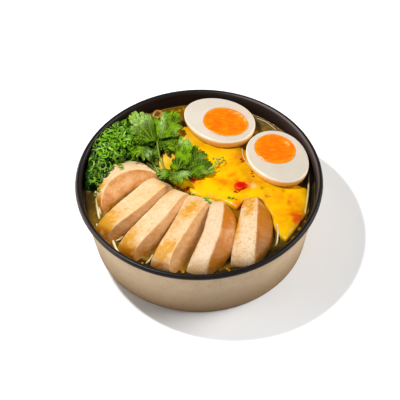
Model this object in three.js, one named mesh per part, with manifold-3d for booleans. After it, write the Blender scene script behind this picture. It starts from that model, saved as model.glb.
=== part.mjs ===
// Cheese ramen in a round paper bowl: broth and noodles under melted cheese, two soft-boiled egg halves,
// six slices of poached chicken breast, chopped scallion, coriander and a piece of red chili.
// Millimetres, +Z up, origin on the table at the centre of the bowl's foot. -Y is the eater's side.
import * as THREE from 'three';
import { mergeVertices } from 'three/addons/utils/BufferGeometryUtils.js';
import Module from 'manifold-3d';

const wasm = await Module();
wasm.setup();

// ---- Driving dimensions ----
const GAP = 0.3; // clearance that pieces in contact keep
const SOFT_GAP = 0.5; // the same round the chicken, whose cutter bends with its slice
const FLATNESS = 0.04; // corners nearer than this to their neighbours' face are dropped
const CUT_FLATNESS = 0.12; // the same for the pieces that lie under all the others and are cut by them

// Bowl: a cone of paper with a rolled rim, its lower edge folded up round the skirt of the base.
const RIM_RADIUS = 92.5;
const BOWL_HEIGHT = 57.5;
const FOOT_RADIUS = 82.5;
const PAPER = 0.8;
const RIM_ROLL_RADIUS = 2.1;
const BASE_HEIGHT = 6.3; // underside of the recessed base
const ROUND_STEPS = 54;

// Levels inside the bowl
const BROTH_LEVEL = 44;
const CORE_TOP = 33; // top of the sunk mass of noodles
const CHEESE_LEVEL = 46.4;
const EGG_FACE_LEVEL = 55;
const RIDGE_LEVEL = 55.4; // highest edge of the chicken slices

const COLOURS = {
  kraft: 0xcdb496, black: 0x241f20, broth: 0x8f7a28, noodle: 0xe8d294, cheese: 0xffc400,
  eggWhite: 0xf3eee6, yolk: 0xff8200, chicken: 0xe9bd8a, scallion: 0x2f8f1e, coriander: 0x3c8f20,
  stem: 0x8fbf4a, chili: 0xe32a08,
};

// ---- Helpers ----
const at = (x, y, z = 0) => new THREE.Vector3(x, y, z);
const radians = THREE.MathUtils.degToRad;

// Six times the volume inside a mesh, negative when its faces point inwards.
function signedVolume(positions, index) {
  let sum = 0;
  for (let i = 0; i < index.length; i += 3) {
    const [a, b, c] = [0, 1, 2].map((k) => new THREE.Vector3().fromArray(positions, 3 * index[i + k]));
    sum += a.dot(b.cross(c));
  }
  return sum;
}

// Closes a geometry by merging its doubled vertices, and makes a solid of it with its faces pointing out.
function solid(geometry) {
  const bare = geometry.clone();
  bare.deleteAttribute('normal');
  bare.deleteAttribute('uv');
  const merged = mergeVertices(bare, 1e-3);
  const vertProperties = new Float32Array(merged.attributes.position.array);
  const triVerts = new Uint32Array(merged.index.array);
  if (signedVolume(vertProperties, triVerts) < 0) {
    for (let i = 0; i < triVerts.length; i += 3) {
      [triVerts[i], triVerts[i + 1]] = [triVerts[i + 1], triVerts[i]];
    }
  }
  return new wasm.Manifold(new wasm.Mesh({ numProp: 3, vertProperties, triVerts }));
}

// Keeps the largest piece of a solid, so that a cut leaves no crumbs.
function largest(body) {
  const volume = (piece) => piece.volume();
  return body.decompose().reduce((best, piece) => (volume(piece) > volume(best) ? piece : best));
}

function mesh(name, body, colour, roughness, flatness = FLATNESS) {
  const data = largest(body.simplify(flatness)).getMesh();
  const geometry = new THREE.BufferGeometry();
  geometry.setAttribute('position', new THREE.Float32BufferAttribute(data.vertProperties, 3));
  geometry.setIndex(Array.from(data.triVerts));
  geometry.computeVertexNormals();
  const material = new THREE.MeshStandardMaterial({ color: colour, roughness, metalness: 0 });
  const piece = new THREE.Mesh(geometry, material);
  piece.name = name;
  return piece;
}

// A solid of revolution about Z from [radius, height] pairs.
function turned(profile, steps = ROUND_STEPS) {
  const outline = profile.map(([radius, height]) => new THREE.Vector2(radius, height));
  return solid(new THREE.LatheGeometry(outline, steps).rotateX(Math.PI / 2));
}

// Moves each vertex of a geometry by a function of its position.
function shaped(geometry, move) {
  const position = geometry.attributes.position;
  for (let i = 0; i < position.count; i += 1) {
    const moved = move(new THREE.Vector3().fromBufferAttribute(position, i));
    position.setXYZ(i, moved.x, moved.y, moved.z);
  }
  return geometry;
}

// A rounded cake over an outline. Its rings lie at the given shares of the way from the centre to the edge,
// outline(turn) is a point on the edge, and top and bottom give the height at a point and its share.
function cake(centre, outline, top, bottom, steps, shares) {
  const positions = [];
  for (const height of [top, bottom]) {
    for (const share of shares) {
      for (let i = 0; i < steps; i += 1) {
        const point = centre.clone().lerp(outline(i / steps), share);
        positions.push(point.x, point.y, height(point, share));
      }
    }
  }
  const index = [];
  const layer = shares.length * steps;
  const rim = layer - steps;
  const quad = (a, b, c, d) => index.push(a, b, c, a, c, d);
  for (let i = 0; i < steps; i += 1) {
    const next = (i + 1) % steps;
    for (let inner = 0; inner < rim; inner += steps) {
      const outer = inner + steps;
      quad(inner + i, outer + i, outer + next, inner + next);
      quad(layer + inner + next, layer + outer + next, layer + outer + i, layer + inner + i);
    }
    quad(rim + i, layer + rim + i, layer + rim + next, rim + next);
  }
  const geometry = new THREE.BufferGeometry();
  geometry.setAttribute('position', new THREE.Float32BufferAttribute(positions, 3));
  geometry.setIndex(index);
  return solid(withoutSlivers(geometry));
}

// Drops the triangles that a ring of zero radius leaves at a cake's centre.
function withoutSlivers(geometry) {
  const merged = mergeVertices(geometry, 1e-3);
  const index = Array.from(merged.index.array);
  const kept = [];
  for (let i = 0; i < index.length; i += 3) {
    const corners = index.slice(i, i + 3);
    if (new Set(corners).size === 3) kept.push(...corners);
  }
  merged.setIndex(kept);
  return merged;
}

// A smooth closed edge through a few [x, y] points.
function smoothEdge(points) {
  const curve = new THREE.CatmullRomCurve3(points.map(([x, y]) => at(x, y)), true, 'centripetal');
  return (turn) => curve.getPoint(turn % 1);
}

// The same edge pushed outwards by a distance, for an edge that runs clockwise seen from above.
const wider = (edge, distance) => (turn) => {
  const along = edge((turn + 0.998) % 1).sub(edge((turn + 0.002) % 1)).normalize();
  return edge(turn).add(at(along.y, -along.x).multiplyScalar(distance));
};

// A round strand along a curve through a few points.
function strand(points, radius, stretchSteps, sides = 8) {
  const section = new THREE.Shape();
  for (let i = 0; i < sides; i += 1) {
    const angle = (2 * Math.PI * i) / sides;
    section[i ? 'lineTo' : 'moveTo'](radius * Math.cos(angle), radius * Math.sin(angle));
  }
  const extrudePath = new THREE.CatmullRomCurve3(points, false, 'centripetal');
  return solid(new THREE.ExtrudeGeometry(section, { steps: stretchSteps, extrudePath }));
}

// Low, uneven swells for anything that lies as it fell.
const swells = (x, y, wave) => Math.sin(x / wave + 1.3) * Math.cos(y / (0.8 * wave) - 0.4)
  + 0.5 * Math.sin((x + 1.7 * y) / (0.6 * wave));

// ---- Bowl ----
const NECK_HEIGHT = BOWL_HEIGHT - 2 * RIM_ROLL_RADIUS; // where the wall meets the rolled rim
const NECK_RADIUS = RIM_RADIUS - 2 * RIM_ROLL_RADIUS + PAPER;
const wallOutside = (z) => FOOT_RADIUS + ((NECK_RADIUS - FOOT_RADIUS) * z) / NECK_HEIGHT;
const wallInside = (z) => wallOutside(z) - PAPER;

const SKIRT_INNER = wallInside(0) - 2 * GAP - PAPER;
const FOLD_OUTER = SKIRT_INNER - GAP;
const FOLD_TOP = BASE_HEIGHT - GAP;

function bowlWall() {
  const roll = [];
  const rollSteps = 8;
  for (let i = 0; i <= rollSteps; i += 1) {
    const angle = radians(-60 + (240 * i) / rollSteps);
    roll.push([
      RIM_RADIUS - RIM_ROLL_RADIUS * (1 - Math.cos(angle)),
      BOWL_HEIGHT - RIM_ROLL_RADIUS * (1 - Math.sin(angle)),
    ]);
  }
  return turned([
    [FOOT_RADIUS, 0],
    [wallOutside(NECK_HEIGHT), NECK_HEIGHT],
    ...roll,
    [wallInside(NECK_HEIGHT), NECK_HEIGHT],
    [wallInside(PAPER), PAPER],
    [FOLD_OUTER, PAPER],
    [FOLD_OUTER, FOLD_TOP],
    [FOLD_OUTER - PAPER, FOLD_TOP],
    [FOLD_OUTER - PAPER, 0],
    [FOOT_RADIUS, 0],
  ]);
}

function bowlBase() {
  const top = BASE_HEIGHT + PAPER;
  const low = PAPER + GAP;
  return turned([
    [0, BASE_HEIGHT],
    [SKIRT_INNER, BASE_HEIGHT],
    [SKIRT_INNER, low],
    [wallInside(low) - GAP, low],
    [wallInside(top) - GAP, top],
    [0, top],
  ]);
}

// The room inside the wall, between two heights.
function room(low, high) {
  return turned([
    [0, low],
    [wallInside(low) - GAP, low],
    [wallInside(high) - GAP, high],
    [0, high],
  ]);
}

// ---- Egg halves: cut face up, the yolk in its hollow ----
const EGGS = [
  {
    letter: 'a', centre: at(17.0, 61.0), turn: -30, length: 58.5, width: 44.3, blunt: 0.07,
    yolk: { shift: at(4.9, -3.4), turn: -26, length: 36, width: 29.2 },
  },
  {
    letter: 'b', centre: at(60.6, 21.1), turn: -60, length: 55.8, width: 43.6, blunt: -0.08,
    yolk: { shift: at(-2.1, 7.2), turn: -37, length: 32.8, width: 28.6 },
  },
];
const EGG_DEPTH_SHARE = 0.94; // depth of a half against half its width
const YOLK_DEPTH_SHARE = 0.85;

// The lower half of an egg whose cut face lies at the face level.
function halfEgg({ centre, turn, length, width, blunt = 0 }, depthShare, grow, roundSteps) {
  const [a, b] = [length / 2 + grow, width / 2 + grow];
  const egg = shaped(new THREE.SphereGeometry(1, roundSteps, roundSteps / 2), (p) => {
    const swell = 1 + blunt * p.x;
    return at(a * p.x, b * p.y * swell, (b * depthShare) * p.z * swell);
  });
  egg.rotateZ(radians(turn));
  egg.translate(centre.x, centre.y, EGG_FACE_LEVEL);
  const block = new THREE.BoxGeometry(2 * length, 2 * length, length);
  block.translate(centre.x, centre.y, EGG_FACE_LEVEL - length / 2 + (grow ? GAP : 0));
  return solid(egg).intersect(solid(block));
}

const yolkPlace = (egg) => ({ ...egg.yolk, centre: egg.centre.clone().add(egg.yolk.shift) });
const eggBody = (egg, grow = 0) => halfEgg(egg, EGG_DEPTH_SHARE, grow, 22);
const yolkBody = (egg, grow = 0) => halfEgg(yolkPlace(egg), YOLK_DEPTH_SHARE, grow, 16);

// ---- Chicken: half-moon slices cut across a breast, leaning on each other ----
// ridge is the middle of the upper right edge, turn the direction of its length from +X, lean how far the
// top face tips to the left, rise the height of the dome, taper how much thicker the far end is, bow how far
// the middle is pushed to the left, puff how much thicker the middle is, wedge how much thicker the slice
// gets with depth, and bulge how far the right side swells.
const SLICES = [
  {
    ridge: at(-53.2, -1.6), turn: 35.4, length: 54.5, thick: 7.2, lean: 14, rise: 14.9,
    taper: 0.6, bow: 11.8, puff: 6.8, wedge: 0.5, bulge: 6,
  },
  {
    ridge: at(-47.4, -20), turn: 45.5, length: 68, thick: 13, lean: 14, rise: 13.9,
    taper: 0.1, bow: -7.8, puff: 5.1, wedge: 0.25, bulge: 0,
  },
  {
    ridge: at(-32.2, -33.4), turn: 54.6, length: 71.5, thick: 11.6, lean: 14, rise: 14.1,
    taper: -0.16, bow: -7.6, puff: 4.5, wedge: 0.32, bulge: 0,
  },
  {
    ridge: at(-11.3, -45.5), turn: 61.6, length: 76.5, thick: 15.7, lean: 14, rise: 13.1,
    taper: 0.17, bow: -2.6, puff: -1.5, wedge: 0.45, bulge: 0,
  },
  {
    ridge: at(7.7, -47.3), turn: 77.2, length: 68.3, thick: 12.2, lean: 13, rise: 14.7,
    taper: -0.21, bow: -7.8, puff: 2.9, wedge: 0.1, bulge: 9.5,
  },
  {
    ridge: at(39.8, -43.4), turn: 84.9, length: 64.1, thick: 13.9, lean: 10, rise: 14.7,
    taper: -0.34, bow: -3.6, puff: 3.1, wedge: 0.1, bulge: 8.5,
  },
];
const SLICE_DROP = 9; // from a slice's widest level down to its underside
const SLICE_ROUNDNESS = 2.7; // power of the outline: 2 is an ellipse, more is blunter
const SLICE_EDGE = 1.2;
const BULGE_DEPTH = 10; // how far below the ridge the side swells most
const BULGE_REACH = 7;

function sliceBody(
  { ridge, turn, length, thick, lean, rise, taper, bow, puff, wedge, bulge },
  grow = 0,
) {
  const round = (value, size) => (size + grow) * Math.sign(value) * Math.abs(value) ** (2 / SLICE_ROUNDNESS);
  const outline = (share) => {
    const angle = 2 * Math.PI * share;
    const height = Math.sin(angle) > 0 ? rise : SLICE_DROP;
    return at(round(Math.cos(angle), length / 2), round(Math.sin(angle), height) - rise);
  };
  const middle = (point) => 1 - (2 * point.x / length) ** 2;
  const edge = (share) => (share < 1 ? 0 : SLICE_EDGE);
  const swell = (point, share) => bulge * (1 - share ** 4) * (1 - (1.6 * point.x / length) ** 2)
    * Math.exp(-(((point.y + BULGE_DEPTH) / BULGE_REACH) ** 2));
  const rightSide = (point, share) => -bow * middle(point) - wedge * point.y
    + swell(point, share) - edge(share) + grow;
  const leftSide = (point, share) => -(bow + puff) * middle(point)
    - thick * (1 + 2 * taper * point.x / length) + edge(share) - grow;
  const slab = cake(at(0, -rise), outline, rightSide, leftSide, 22, [0, 0.45, 0.92, 1]);

  // Along the slice, up it and across it to the right, with the right side raised by the lean.
  const tilt = radians(lean);
  const along = at(1, 0, 0).applyAxisAngle(at(0, 0, 1), radians(turn));
  const level = along.clone().cross(at(0, 0, 1));
  const up = at(0, 0, Math.cos(tilt)).addScaledVector(level, -Math.sin(tilt));
  const right = level.multiplyScalar(Math.cos(tilt)).add(at(0, 0, Math.sin(tilt)));
  const place = new THREE.Matrix4().makeBasis(along, up, right);
  place.setPosition(ridge.x, ridge.y, RIDGE_LEVEL);
  return slab.transform(place.elements);
}

// ---- Melted cheese: a thick glossy layer over the right half ----
const CHEESE_EDGE = smoothEdge([
  [-16, 63], [-4, 61], [11, 52], [24, 44], [36, 36], [46, 22], [56, 10], [70, 1], [86, -4],
  [84, -22], [72, -38], [61.5, -53], [55, -42], [49, -24], [38, -12], [27, -19], [17, -14],
  [6, -11], [-5, -8], [-15, 2], [-26, 12], [-27, 28], [-23, 46],
]);
const CHEESE_MIDDLE = at(45, 0);
const CHEESE_THICKNESS = 3.6;
const CHEESE_EDGE_DROP = 1.4;

function cheeseTop(point, share) {
  return CHEESE_LEVEL + 0.7 * swells(point.x, point.y, 11) - (share < 1 ? 0 : CHEESE_EDGE_DROP);
}

const cheeseBody = (grow = 0) => cake(
  CHEESE_MIDDLE,
  wider(CHEESE_EDGE, grow),
  (point, share) => cheeseTop(point, share) + grow,
  () => CHEESE_LEVEL - CHEESE_THICKNESS - grow,
  40,
  [0, 0.35, 0.7, 0.92, 1],
);

// ---- Red chili: one cut piece, half sunk in the cheese ----
const CHILI = { centre: at(31.6, -0.3), length: 10, width: 7.4, height: 3.6, turn: 15 };

function chiliBody(grow = 0) {
  const chunk = shaped(new THREE.SphereGeometry(1, 12, 6), (p) => {
    const square = (value) => Math.sign(value) * Math.abs(value) ** 0.7;
    return at(
      (CHILI.length / 2 + grow) * square(p.x),
      (CHILI.width / 2 + grow) * square(p.y) * (1 - 0.2 * p.x),
      (CHILI.height / 2 + grow) * square(p.z),
    );
  });
  chunk.rotateZ(radians(CHILI.turn));
  chunk.translate(CHILI.centre.x, CHILI.centre.y, CHEESE_LEVEL);
  return solid(chunk);
}

// ---- Chopped scallion: a loose heap against the wall ----
const HEAP_EDGE = smoothEdge([
  [-94, 0], [-86, -14], [-77, -10], [-69, 6], [-60, 20], [-48, 26], [-37, 32], [-35, 48],
  [-40, 65], [-56, 78], [-80, 70], [-96, 40],
]);
const HEAP_MIDDLE = at(-69, 36);
const HEAP_RISE = 12;
const HEAP_FOOT = BROTH_LEVEL + GAP;

const heapBody = () => cake(
  HEAP_MIDDLE,
  HEAP_EDGE,
  (point, share) => HEAP_FOOT + 1.5 + HEAP_RISE * (1 - share ** 2.2) + 0.8 * swells(point.x, point.y, 3.2),
  () => HEAP_FOOT,
  32,
  [0, 0.25, 0.5, 0.75, 1],
);

// ---- Coriander: fan-shaped leaflets on thin stems ----
// base is where the leaflet joins its stem, heading the direction it points from +X, climb how much its far
// end rises, and fan its edge as [degrees from the heading, distance from the base].
const LEAFLETS = [
  {
    base: at(-33.7, 35.8, 57.4), heading: 117, climb: -0.02, camber: 1.8,
    fan: [
      [-34, 6], [-27, 20], [-22, 30], [-12, 33.5], [-3, 35.8], [8, 34], [16, 28], [25, 23], [39, 19.4],
      [55, 15], [80, 9],
    ],
  },
  {
    base: at(-28.4, 41.4, 54), heading: 75, climb: -0.02, camber: 1.8,
    fan: [
      [-62, 11.9], [-41, 19.6], [-29, 22.5], [-16, 29], [-2, 31.7], [12, 28.6], [20, 20], [29, 11], [50, 5],
    ],
  },
  {
    base: at(-42.8, 31.5, 57.4), heading: -93, climb: 0, camber: 1,
    fan: [
      [-85, 6.5], [-62, 10], [-40, 13.2], [-20, 13], [-5, 10.7], [10, 14.7], [28, 14.3], [45, 12], [62, 8.4],
      [90, 5],
    ],
  },
  {
    base: at(-16.4, 10.3, 53.4), heading: 81, climb: -0.02, camber: 1.6,
    fan: [
      [-64, 6], [-41, 12.9], [-29, 19.3], [-19, 26.5], [-8, 32], [2, 35], [8, 31], [10, 22], [20, 14.8],
      [33, 11.1], [52, 7.7], [74, 5],
    ],
  },
  {
    base: at(-17.2, 12, 48.9), heading: 33, climb: 0, camber: 1.6,
    fan: [
      [-58, 10], [-50, 22], [-38, 27.5], [-27, 29.2], [-16, 28.6], [-6, 28], [5, 30.2], [16, 29.4], [24, 30.4],
      [31, 28], [36, 16], [45, 8],
    ],
  },
  {
    base: at(-17.2, 10.3, 51.6), heading: -80, climb: 0.36, camber: 1,
    fan: [
      [-85, 7.5], [-60, 10.4], [-35, 12.4], [-20, 15.2], [-3, 17.8], [8, 17.3], [18, 15.2], [32, 15.3],
      [45, 13.6], [62, 11.9], [80, 9],
    ],
  },
  {
    base: at(-28.5, 43.2, 51.6), heading: -56, climb: -0.05, camber: 1.2,
    fan: [
      [-60, 5], [-36, 9.3], [-23, 12.7], [-3, 16.5], [11, 15.2], [26, 15.5], [50, 13.6], [69, 12.7],
      [85, 8],
    ],
  },
];
const LEAF_THICKNESS = 0.8;

function leafletBody({ base, heading, climb, camber, fan }) {
  const reach = Math.max(...fan.map(([, distance]) => distance));
  const edge = smoothEdge([
    [0, 0],
    ...fan.map(([angle, distance]) => [
      distance * Math.cos(radians(angle)),
      distance * Math.sin(radians(angle)),
    ]),
  ]);
  const arch = (point, share) => camber * (1 - share ** 2) + climb * point.x;
  const plate = cake(
    at(0.5 * reach, 0),
    edge,
    (point, share) => arch(point, share) + LEAF_THICKNESS / 2,
    (point, share) => arch(point, share) - LEAF_THICKNESS / 2,
    36,
    [0, 0.5, 1],
  );
  return plate.rotate([0, 0, heading]).translate(base.toArray());
}

const STEM_RADIUS = 0.8;
const STEMS = [
  [at(-31.5, 38.6, 55.2), at(-30.4, 30, 53.6), at(-28.6, 21, 51.8), at(-26, 15, 50.2)],
  [at(-24, 13.4, 50.4), at(-21, 11.6, 50.2), at(-18.4, 10.6, 49.9)],
];

// ---- Noodles: a sunk mass with a few loops reaching the surface ----
const CORE_BOTTOM = 12;
const CORE_RADIUS = 73;
const LOOP_RADIUS = 2.1;
const LOOP_TOP = 43.4;
const LOOP_DEPTH = 28;
// Each loop comes up at one place, runs level along the surface and dives again at the other.
const LOOPS = [
  [at(-79.5, -14), at(-70, -34)],
  [at(-58, -55.5), at(-44, -56.5)],
  [at(-41, -66), at(-30, -70)],
  [at(57.4, -33), at(50, -63)],
  [at(82.6, 20), at(79.8, -24)],
  [at(42, 72.5), at(64, 53)],
  [at(-36, 74.5), at(-22, 80)],
];

function coreBody(grow = 0) {
  const lump = (turn) => 1 + 0.025 * Math.sin(2 * Math.PI * 5 * turn)
    + 0.015 * Math.cos(2 * Math.PI * 9 * turn);
  const edge = (turn) => {
    const radius = (CORE_RADIUS + grow) * lump(turn);
    return at(radius * Math.cos(2 * Math.PI * turn), radius * Math.sin(2 * Math.PI * turn));
  };
  const roundEdge = (share) => 6 * Math.max(0, (share - 0.75) / 0.25) ** 2;
  return cake(
    at(0, 0),
    edge,
    (point, share) => CORE_TOP + 1.2 * swells(point.x, point.y, 9) - roundEdge(share) + grow,
    (point, share) => CORE_BOTTOM + roundEdge(share) - grow,
    24,
    [0, 0.75, 1],
  );
}

function loopBody([start, end], grow) {
  const dive = (point, inwards, depth) => at(point.x * inwards, point.y * inwards, depth);
  const outer = start.clone().lerp(end, 0.5);
  outer.setLength(Math.max(start.length(), end.length()));
  return strand([
    dive(start, 0.84, LOOP_DEPTH),
    dive(start, 0.96, LOOP_TOP - 5),
    dive(start.clone().lerp(outer, 0.35), 1, LOOP_TOP),
    dive(outer, 1, LOOP_TOP + 0.5),
    dive(end.clone().lerp(outer, 0.35), 1, LOOP_TOP),
    dive(end, 0.96, LOOP_TOP - 5),
    dive(end, 0.84, LOOP_DEPTH),
  ], LOOP_RADIUS + grow, 8, 5);
}

const noodleBody = (grow = 0) => LOOPS.reduce((mass, loop) => mass.add(loopBody(loop, grow)), coreBody(grow));

// ---- Putting the bowl together ----
// Each piece is cut round what it touches, so that the pieces keep a small gap.
const inside = room(BASE_HEIGHT + PAPER + GAP, BOWL_HEIGHT);
const cut = (body, tools) => tools.reduce((left, tool) => left.subtract(tool), body);

const eggCutters = EGGS.map((egg) => eggBody(egg, GAP));
const sliceCutters = SLICES.map((slice) => sliceBody(slice, SOFT_GAP));
const slices = SLICES.map((slice, i) => cut(sliceBody(slice), sliceCutters.slice(Math.max(0, i - 1), i)));
const leaflets = LEAFLETS.map(leafletBody);
const stems = STEMS.map((points) => strand(points, STEM_RADIUS, 5));
const toppings = [...eggCutters, ...sliceCutters];

const cheese = cut(cheeseBody(), [...toppings, chiliBody(GAP)]).intersect(inside);
const heap = cut(heapBody(), sliceCutters.slice(0, 1)).intersect(inside);
const noodles = cut(noodleBody(), [...toppings, cheeseBody(GAP)]).intersect(inside);
const sunk = [...toppings, cheeseBody(GAP), noodleBody(GAP)];
const broth = cut(room(BASE_HEIGHT + PAPER + GAP, BROTH_LEVEL), sunk);

const group = new THREE.Group();
group.add(mesh('bowl_wall', bowlWall(), COLOURS.kraft, 0.85));
group.add(mesh('bowl_base', bowlBase(), COLOURS.kraft, 0.85));
group.add(mesh('broth', broth, COLOURS.broth, 0.15, CUT_FLATNESS));
group.add(mesh('noodles', noodles, COLOURS.noodle, 0.5, CUT_FLATNESS));
group.add(mesh('cheese', cheese, COLOURS.cheese, 0.25));
EGGS.forEach((egg) => {
  const white = eggBody(egg).subtract(yolkBody(egg, GAP));
  group.add(mesh(`egg_white_${egg.letter}`, white, COLOURS.eggWhite, 0.35));
  group.add(mesh(`egg_yolk_${egg.letter}`, yolkBody(egg), COLOURS.yolk, 0.25));
});
slices.forEach((slice, i) => group.add(mesh(`chicken_slice_${i + 1}`, slice, COLOURS.chicken, 0.5)));
group.add(mesh('scallion_heap', heap, COLOURS.scallion, 0.45));
leaflets.forEach((leaf, i) => group.add(mesh(`coriander_leaf_${i + 1}`, leaf, COLOURS.coriander, 0.5)));
stems.forEach((stem, i) => group.add(mesh(`coriander_stem_${i + 1}`, stem, COLOURS.stem, 0.4)));
group.add(mesh('chili_piece', chiliBody(), COLOURS.chili, 0.25));

export default group;
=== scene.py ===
"""The finishes and fine shapes of a cheese ramen in a round paper bowl.

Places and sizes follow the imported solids, with a few pieces moved or trimmed by some millimetres. Lengths are
millimetres until they enter a mesh.
"""
import math
import random

import bpy
import numpy as np
from mathutils import Matrix, Vector, noise
from mathutils.bvhtree import BVHTree


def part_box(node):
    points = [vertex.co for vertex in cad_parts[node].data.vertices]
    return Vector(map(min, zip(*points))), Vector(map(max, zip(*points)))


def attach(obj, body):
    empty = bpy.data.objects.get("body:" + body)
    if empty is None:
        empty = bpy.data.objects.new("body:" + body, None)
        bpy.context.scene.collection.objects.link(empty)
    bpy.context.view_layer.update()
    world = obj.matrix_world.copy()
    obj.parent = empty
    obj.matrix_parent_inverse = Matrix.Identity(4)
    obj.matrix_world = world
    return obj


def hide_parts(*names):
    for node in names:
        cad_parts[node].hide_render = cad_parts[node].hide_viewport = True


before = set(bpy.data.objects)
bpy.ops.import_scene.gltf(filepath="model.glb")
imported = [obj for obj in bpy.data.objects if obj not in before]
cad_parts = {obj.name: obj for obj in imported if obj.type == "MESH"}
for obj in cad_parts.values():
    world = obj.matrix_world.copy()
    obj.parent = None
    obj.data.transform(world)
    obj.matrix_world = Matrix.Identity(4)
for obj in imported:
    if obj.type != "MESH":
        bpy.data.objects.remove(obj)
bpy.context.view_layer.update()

MM = 0.001
UP = np.array([0.0, 0.0, 1.0])

# ---- Sizes shared by several pieces ----
ROUND = 192  # steps round the bowl
RIM_RADIUS = 92.5
RIM_ROLL = 2.1
BOWL_HEIGHT = 57.5
FOOT_RADIUS = 82.5
NECK_HEIGHT = BOWL_HEIGHT - 2 * RIM_ROLL
NECK_RADIUS = RIM_RADIUS - 2 * RIM_ROLL + 0.8
PAPER = 0.8
KRAFT_SHARE = 0.45  # the kraft layer's part of the paper, the rest is the black lining
BASE_HEIGHT = 6.3
BROTH_LEVEL = 44.0
EGG_FACE_LEVEL = 55.0
RIDGE_LEVEL = 55.4


# ---- Picking, placing and closing meshes ----
def deselect_all():
    bpy.ops.object.select_all(action="DESELECT")


def pick(piece):
    deselect_all()
    piece.select_set(True)
    bpy.context.view_layer.objects.active = piece


def settle(piece):
    """Moves an object's place, turn and size into its mesh."""
    pick(piece)
    bpy.ops.object.transform_apply(location=True, rotation=True, scale=True)


def points_of(piece):
    flat = np.empty(3 * len(piece.data.vertices))
    piece.data.vertices.foreach_get("co", flat)
    return flat.reshape(-1, 3) / MM


def move_points(piece, points):
    piece.data.vertices.foreach_set("co", (points * MM).ravel())
    piece.data.update()


def normals_of(piece):
    flat = np.empty(3 * len(piece.data.vertices))
    piece.data.vertex_normals.foreach_get("vector", flat)
    return flat.reshape(-1, 3)


def close_up(piece, reach=0.004):
    """Joins points that meet and turns every face outwards."""
    pick(piece)
    bpy.ops.object.mode_set(mode="EDIT")
    bpy.ops.mesh.select_all(action="SELECT")
    bpy.ops.mesh.remove_doubles(threshold=reach * MM)
    bpy.ops.mesh.normals_make_consistent(inside=False)
    bpy.ops.object.mode_set(mode="OBJECT")


def smooth(piece, angle=40):
    pick(piece)
    bpy.ops.object.shade_smooth_by_angle(angle=math.radians(angle))


def modify(piece, kind, **settings):
    """Adds a modifier and applies it at once."""
    pick(piece)
    modifier = piece.modifiers.new(kind.title(), kind)
    for name, value in settings.items():
        setattr(modifier, name, value)
    bpy.ops.object.modifier_apply(modifier=modifier.name)


def mark(piece, name, values):
    """Stores one number, or one vector, for each point of a piece."""
    values = np.asarray(values, dtype=float)
    kind = "FLOAT" if values.ndim == 1 else "FLOAT_VECTOR"
    layer = piece.data.attributes.new(name, kind, "POINT")
    layer.data.foreach_set("value" if values.ndim == 1 else "vector", values.ravel())


def dress(piece, name, slot, material, *nodes):
    """Names a finished piece, gives it its finish and ties it to the frame."""
    piece.name = name
    piece.data.name = name
    piece.data.materials.clear()
    piece.data.materials.append(material)
    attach(piece, "root")
    if nodes:
        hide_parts(*nodes)


def turned(profile):
    """A closed shell of revolution: a circle drawn out ring by ring along [radius, height] pairs."""
    deselect_all()
    radius, height = profile[0]
    bpy.ops.mesh.primitive_circle_add(vertices=ROUND, radius=radius * MM, location=(0, 0, height * MM))
    piece = bpy.context.object
    settle(piece)
    bpy.ops.object.mode_set(mode="EDIT")
    bpy.ops.mesh.select_all(action="SELECT")
    for (old_radius, old_height), (radius, height) in zip(profile, profile[1:]):
        lift = (0, 0, (height - old_height) * MM)
        bpy.ops.mesh.extrude_region_move(TRANSFORM_OT_translate={"value": lift})
        grow = radius / old_radius
        bpy.ops.transform.resize(value=(grow, grow, 1), center_override=(0, 0, 0))
    bpy.ops.object.mode_set(mode="OBJECT")
    close_up(piece)
    return piece


def skin(down, around, place):
    """A closed skin: a grid rolled up, each point put in place by place(share down, share round)."""
    deselect_all()
    bpy.ops.mesh.primitive_grid_add(x_subdivisions=around, y_subdivisions=down, size=2)
    piece = bpy.context.object
    flat = points_of(piece) * MM
    move_points(piece, place((flat[:, 1] + 1) / 2, (flat[:, 0] + 1) / 2))
    close_up(piece)
    return piece


def joined(parts):
    """One mesh from a list of (points, faces) pairs."""
    points = []
    faces = []
    count = 0
    for part_points, part_faces in parts:
        points.append(part_points)
        faces.extend([[corner + count for corner in face] for face in part_faces])
        count += len(part_points)
    data = bpy.data.meshes.new("joined")
    data.from_pydata((np.vstack(points) * MM).tolist(), [], faces)
    piece = bpy.data.objects.new("joined", data)
    bpy.context.scene.collection.objects.link(piece)
    return piece


def even_copy(node_name, grain, rounds):
    """A copy of one of the frame's solids, its triangles joined, made even at grain and softened."""
    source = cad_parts[node_name]
    piece = bpy.data.objects.new(node_name + "_copy", source.data.copy())
    bpy.context.scene.collection.objects.link(piece)
    pick(piece)
    bpy.ops.object.mode_set(mode="EDIT")
    bpy.ops.mesh.select_all(action="SELECT")
    bpy.ops.mesh.customdata_custom_splitnormals_clear()
    bpy.ops.mesh.remove_doubles(threshold=0.01 * MM)
    bpy.ops.object.mode_set(mode="OBJECT")
    modify(piece, "REMESH", mode="VOXEL", voxel_size=grain * MM)
    modify(piece, "SMOOTH", factor=0.5, iterations=rounds)
    return piece


def lumps(points, size, seed):
    """Smooth uneven values from -1 to 1, whose swells are about size millimetres across."""
    shift = Vector((seed * 17.3, seed * 5.1, seed * 9.7))
    return np.array([noise.noise(Vector(point) / size + shift) for point in points])


def spots(points, places):
    """Soft spots seen from above, added up. Each is (x, y, size along x, size along y, strength)."""
    total = np.zeros(len(points))
    for x, y, a, b, strength in places:
        total += strength * np.exp(-(((points[:, 0] - x) / a) ** 2 + ((points[:, 1] - y) / b) ** 2))
    return total


def rotation(axis, degrees):
    return np.array(Matrix.Rotation(math.radians(degrees), 3, axis))


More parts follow.
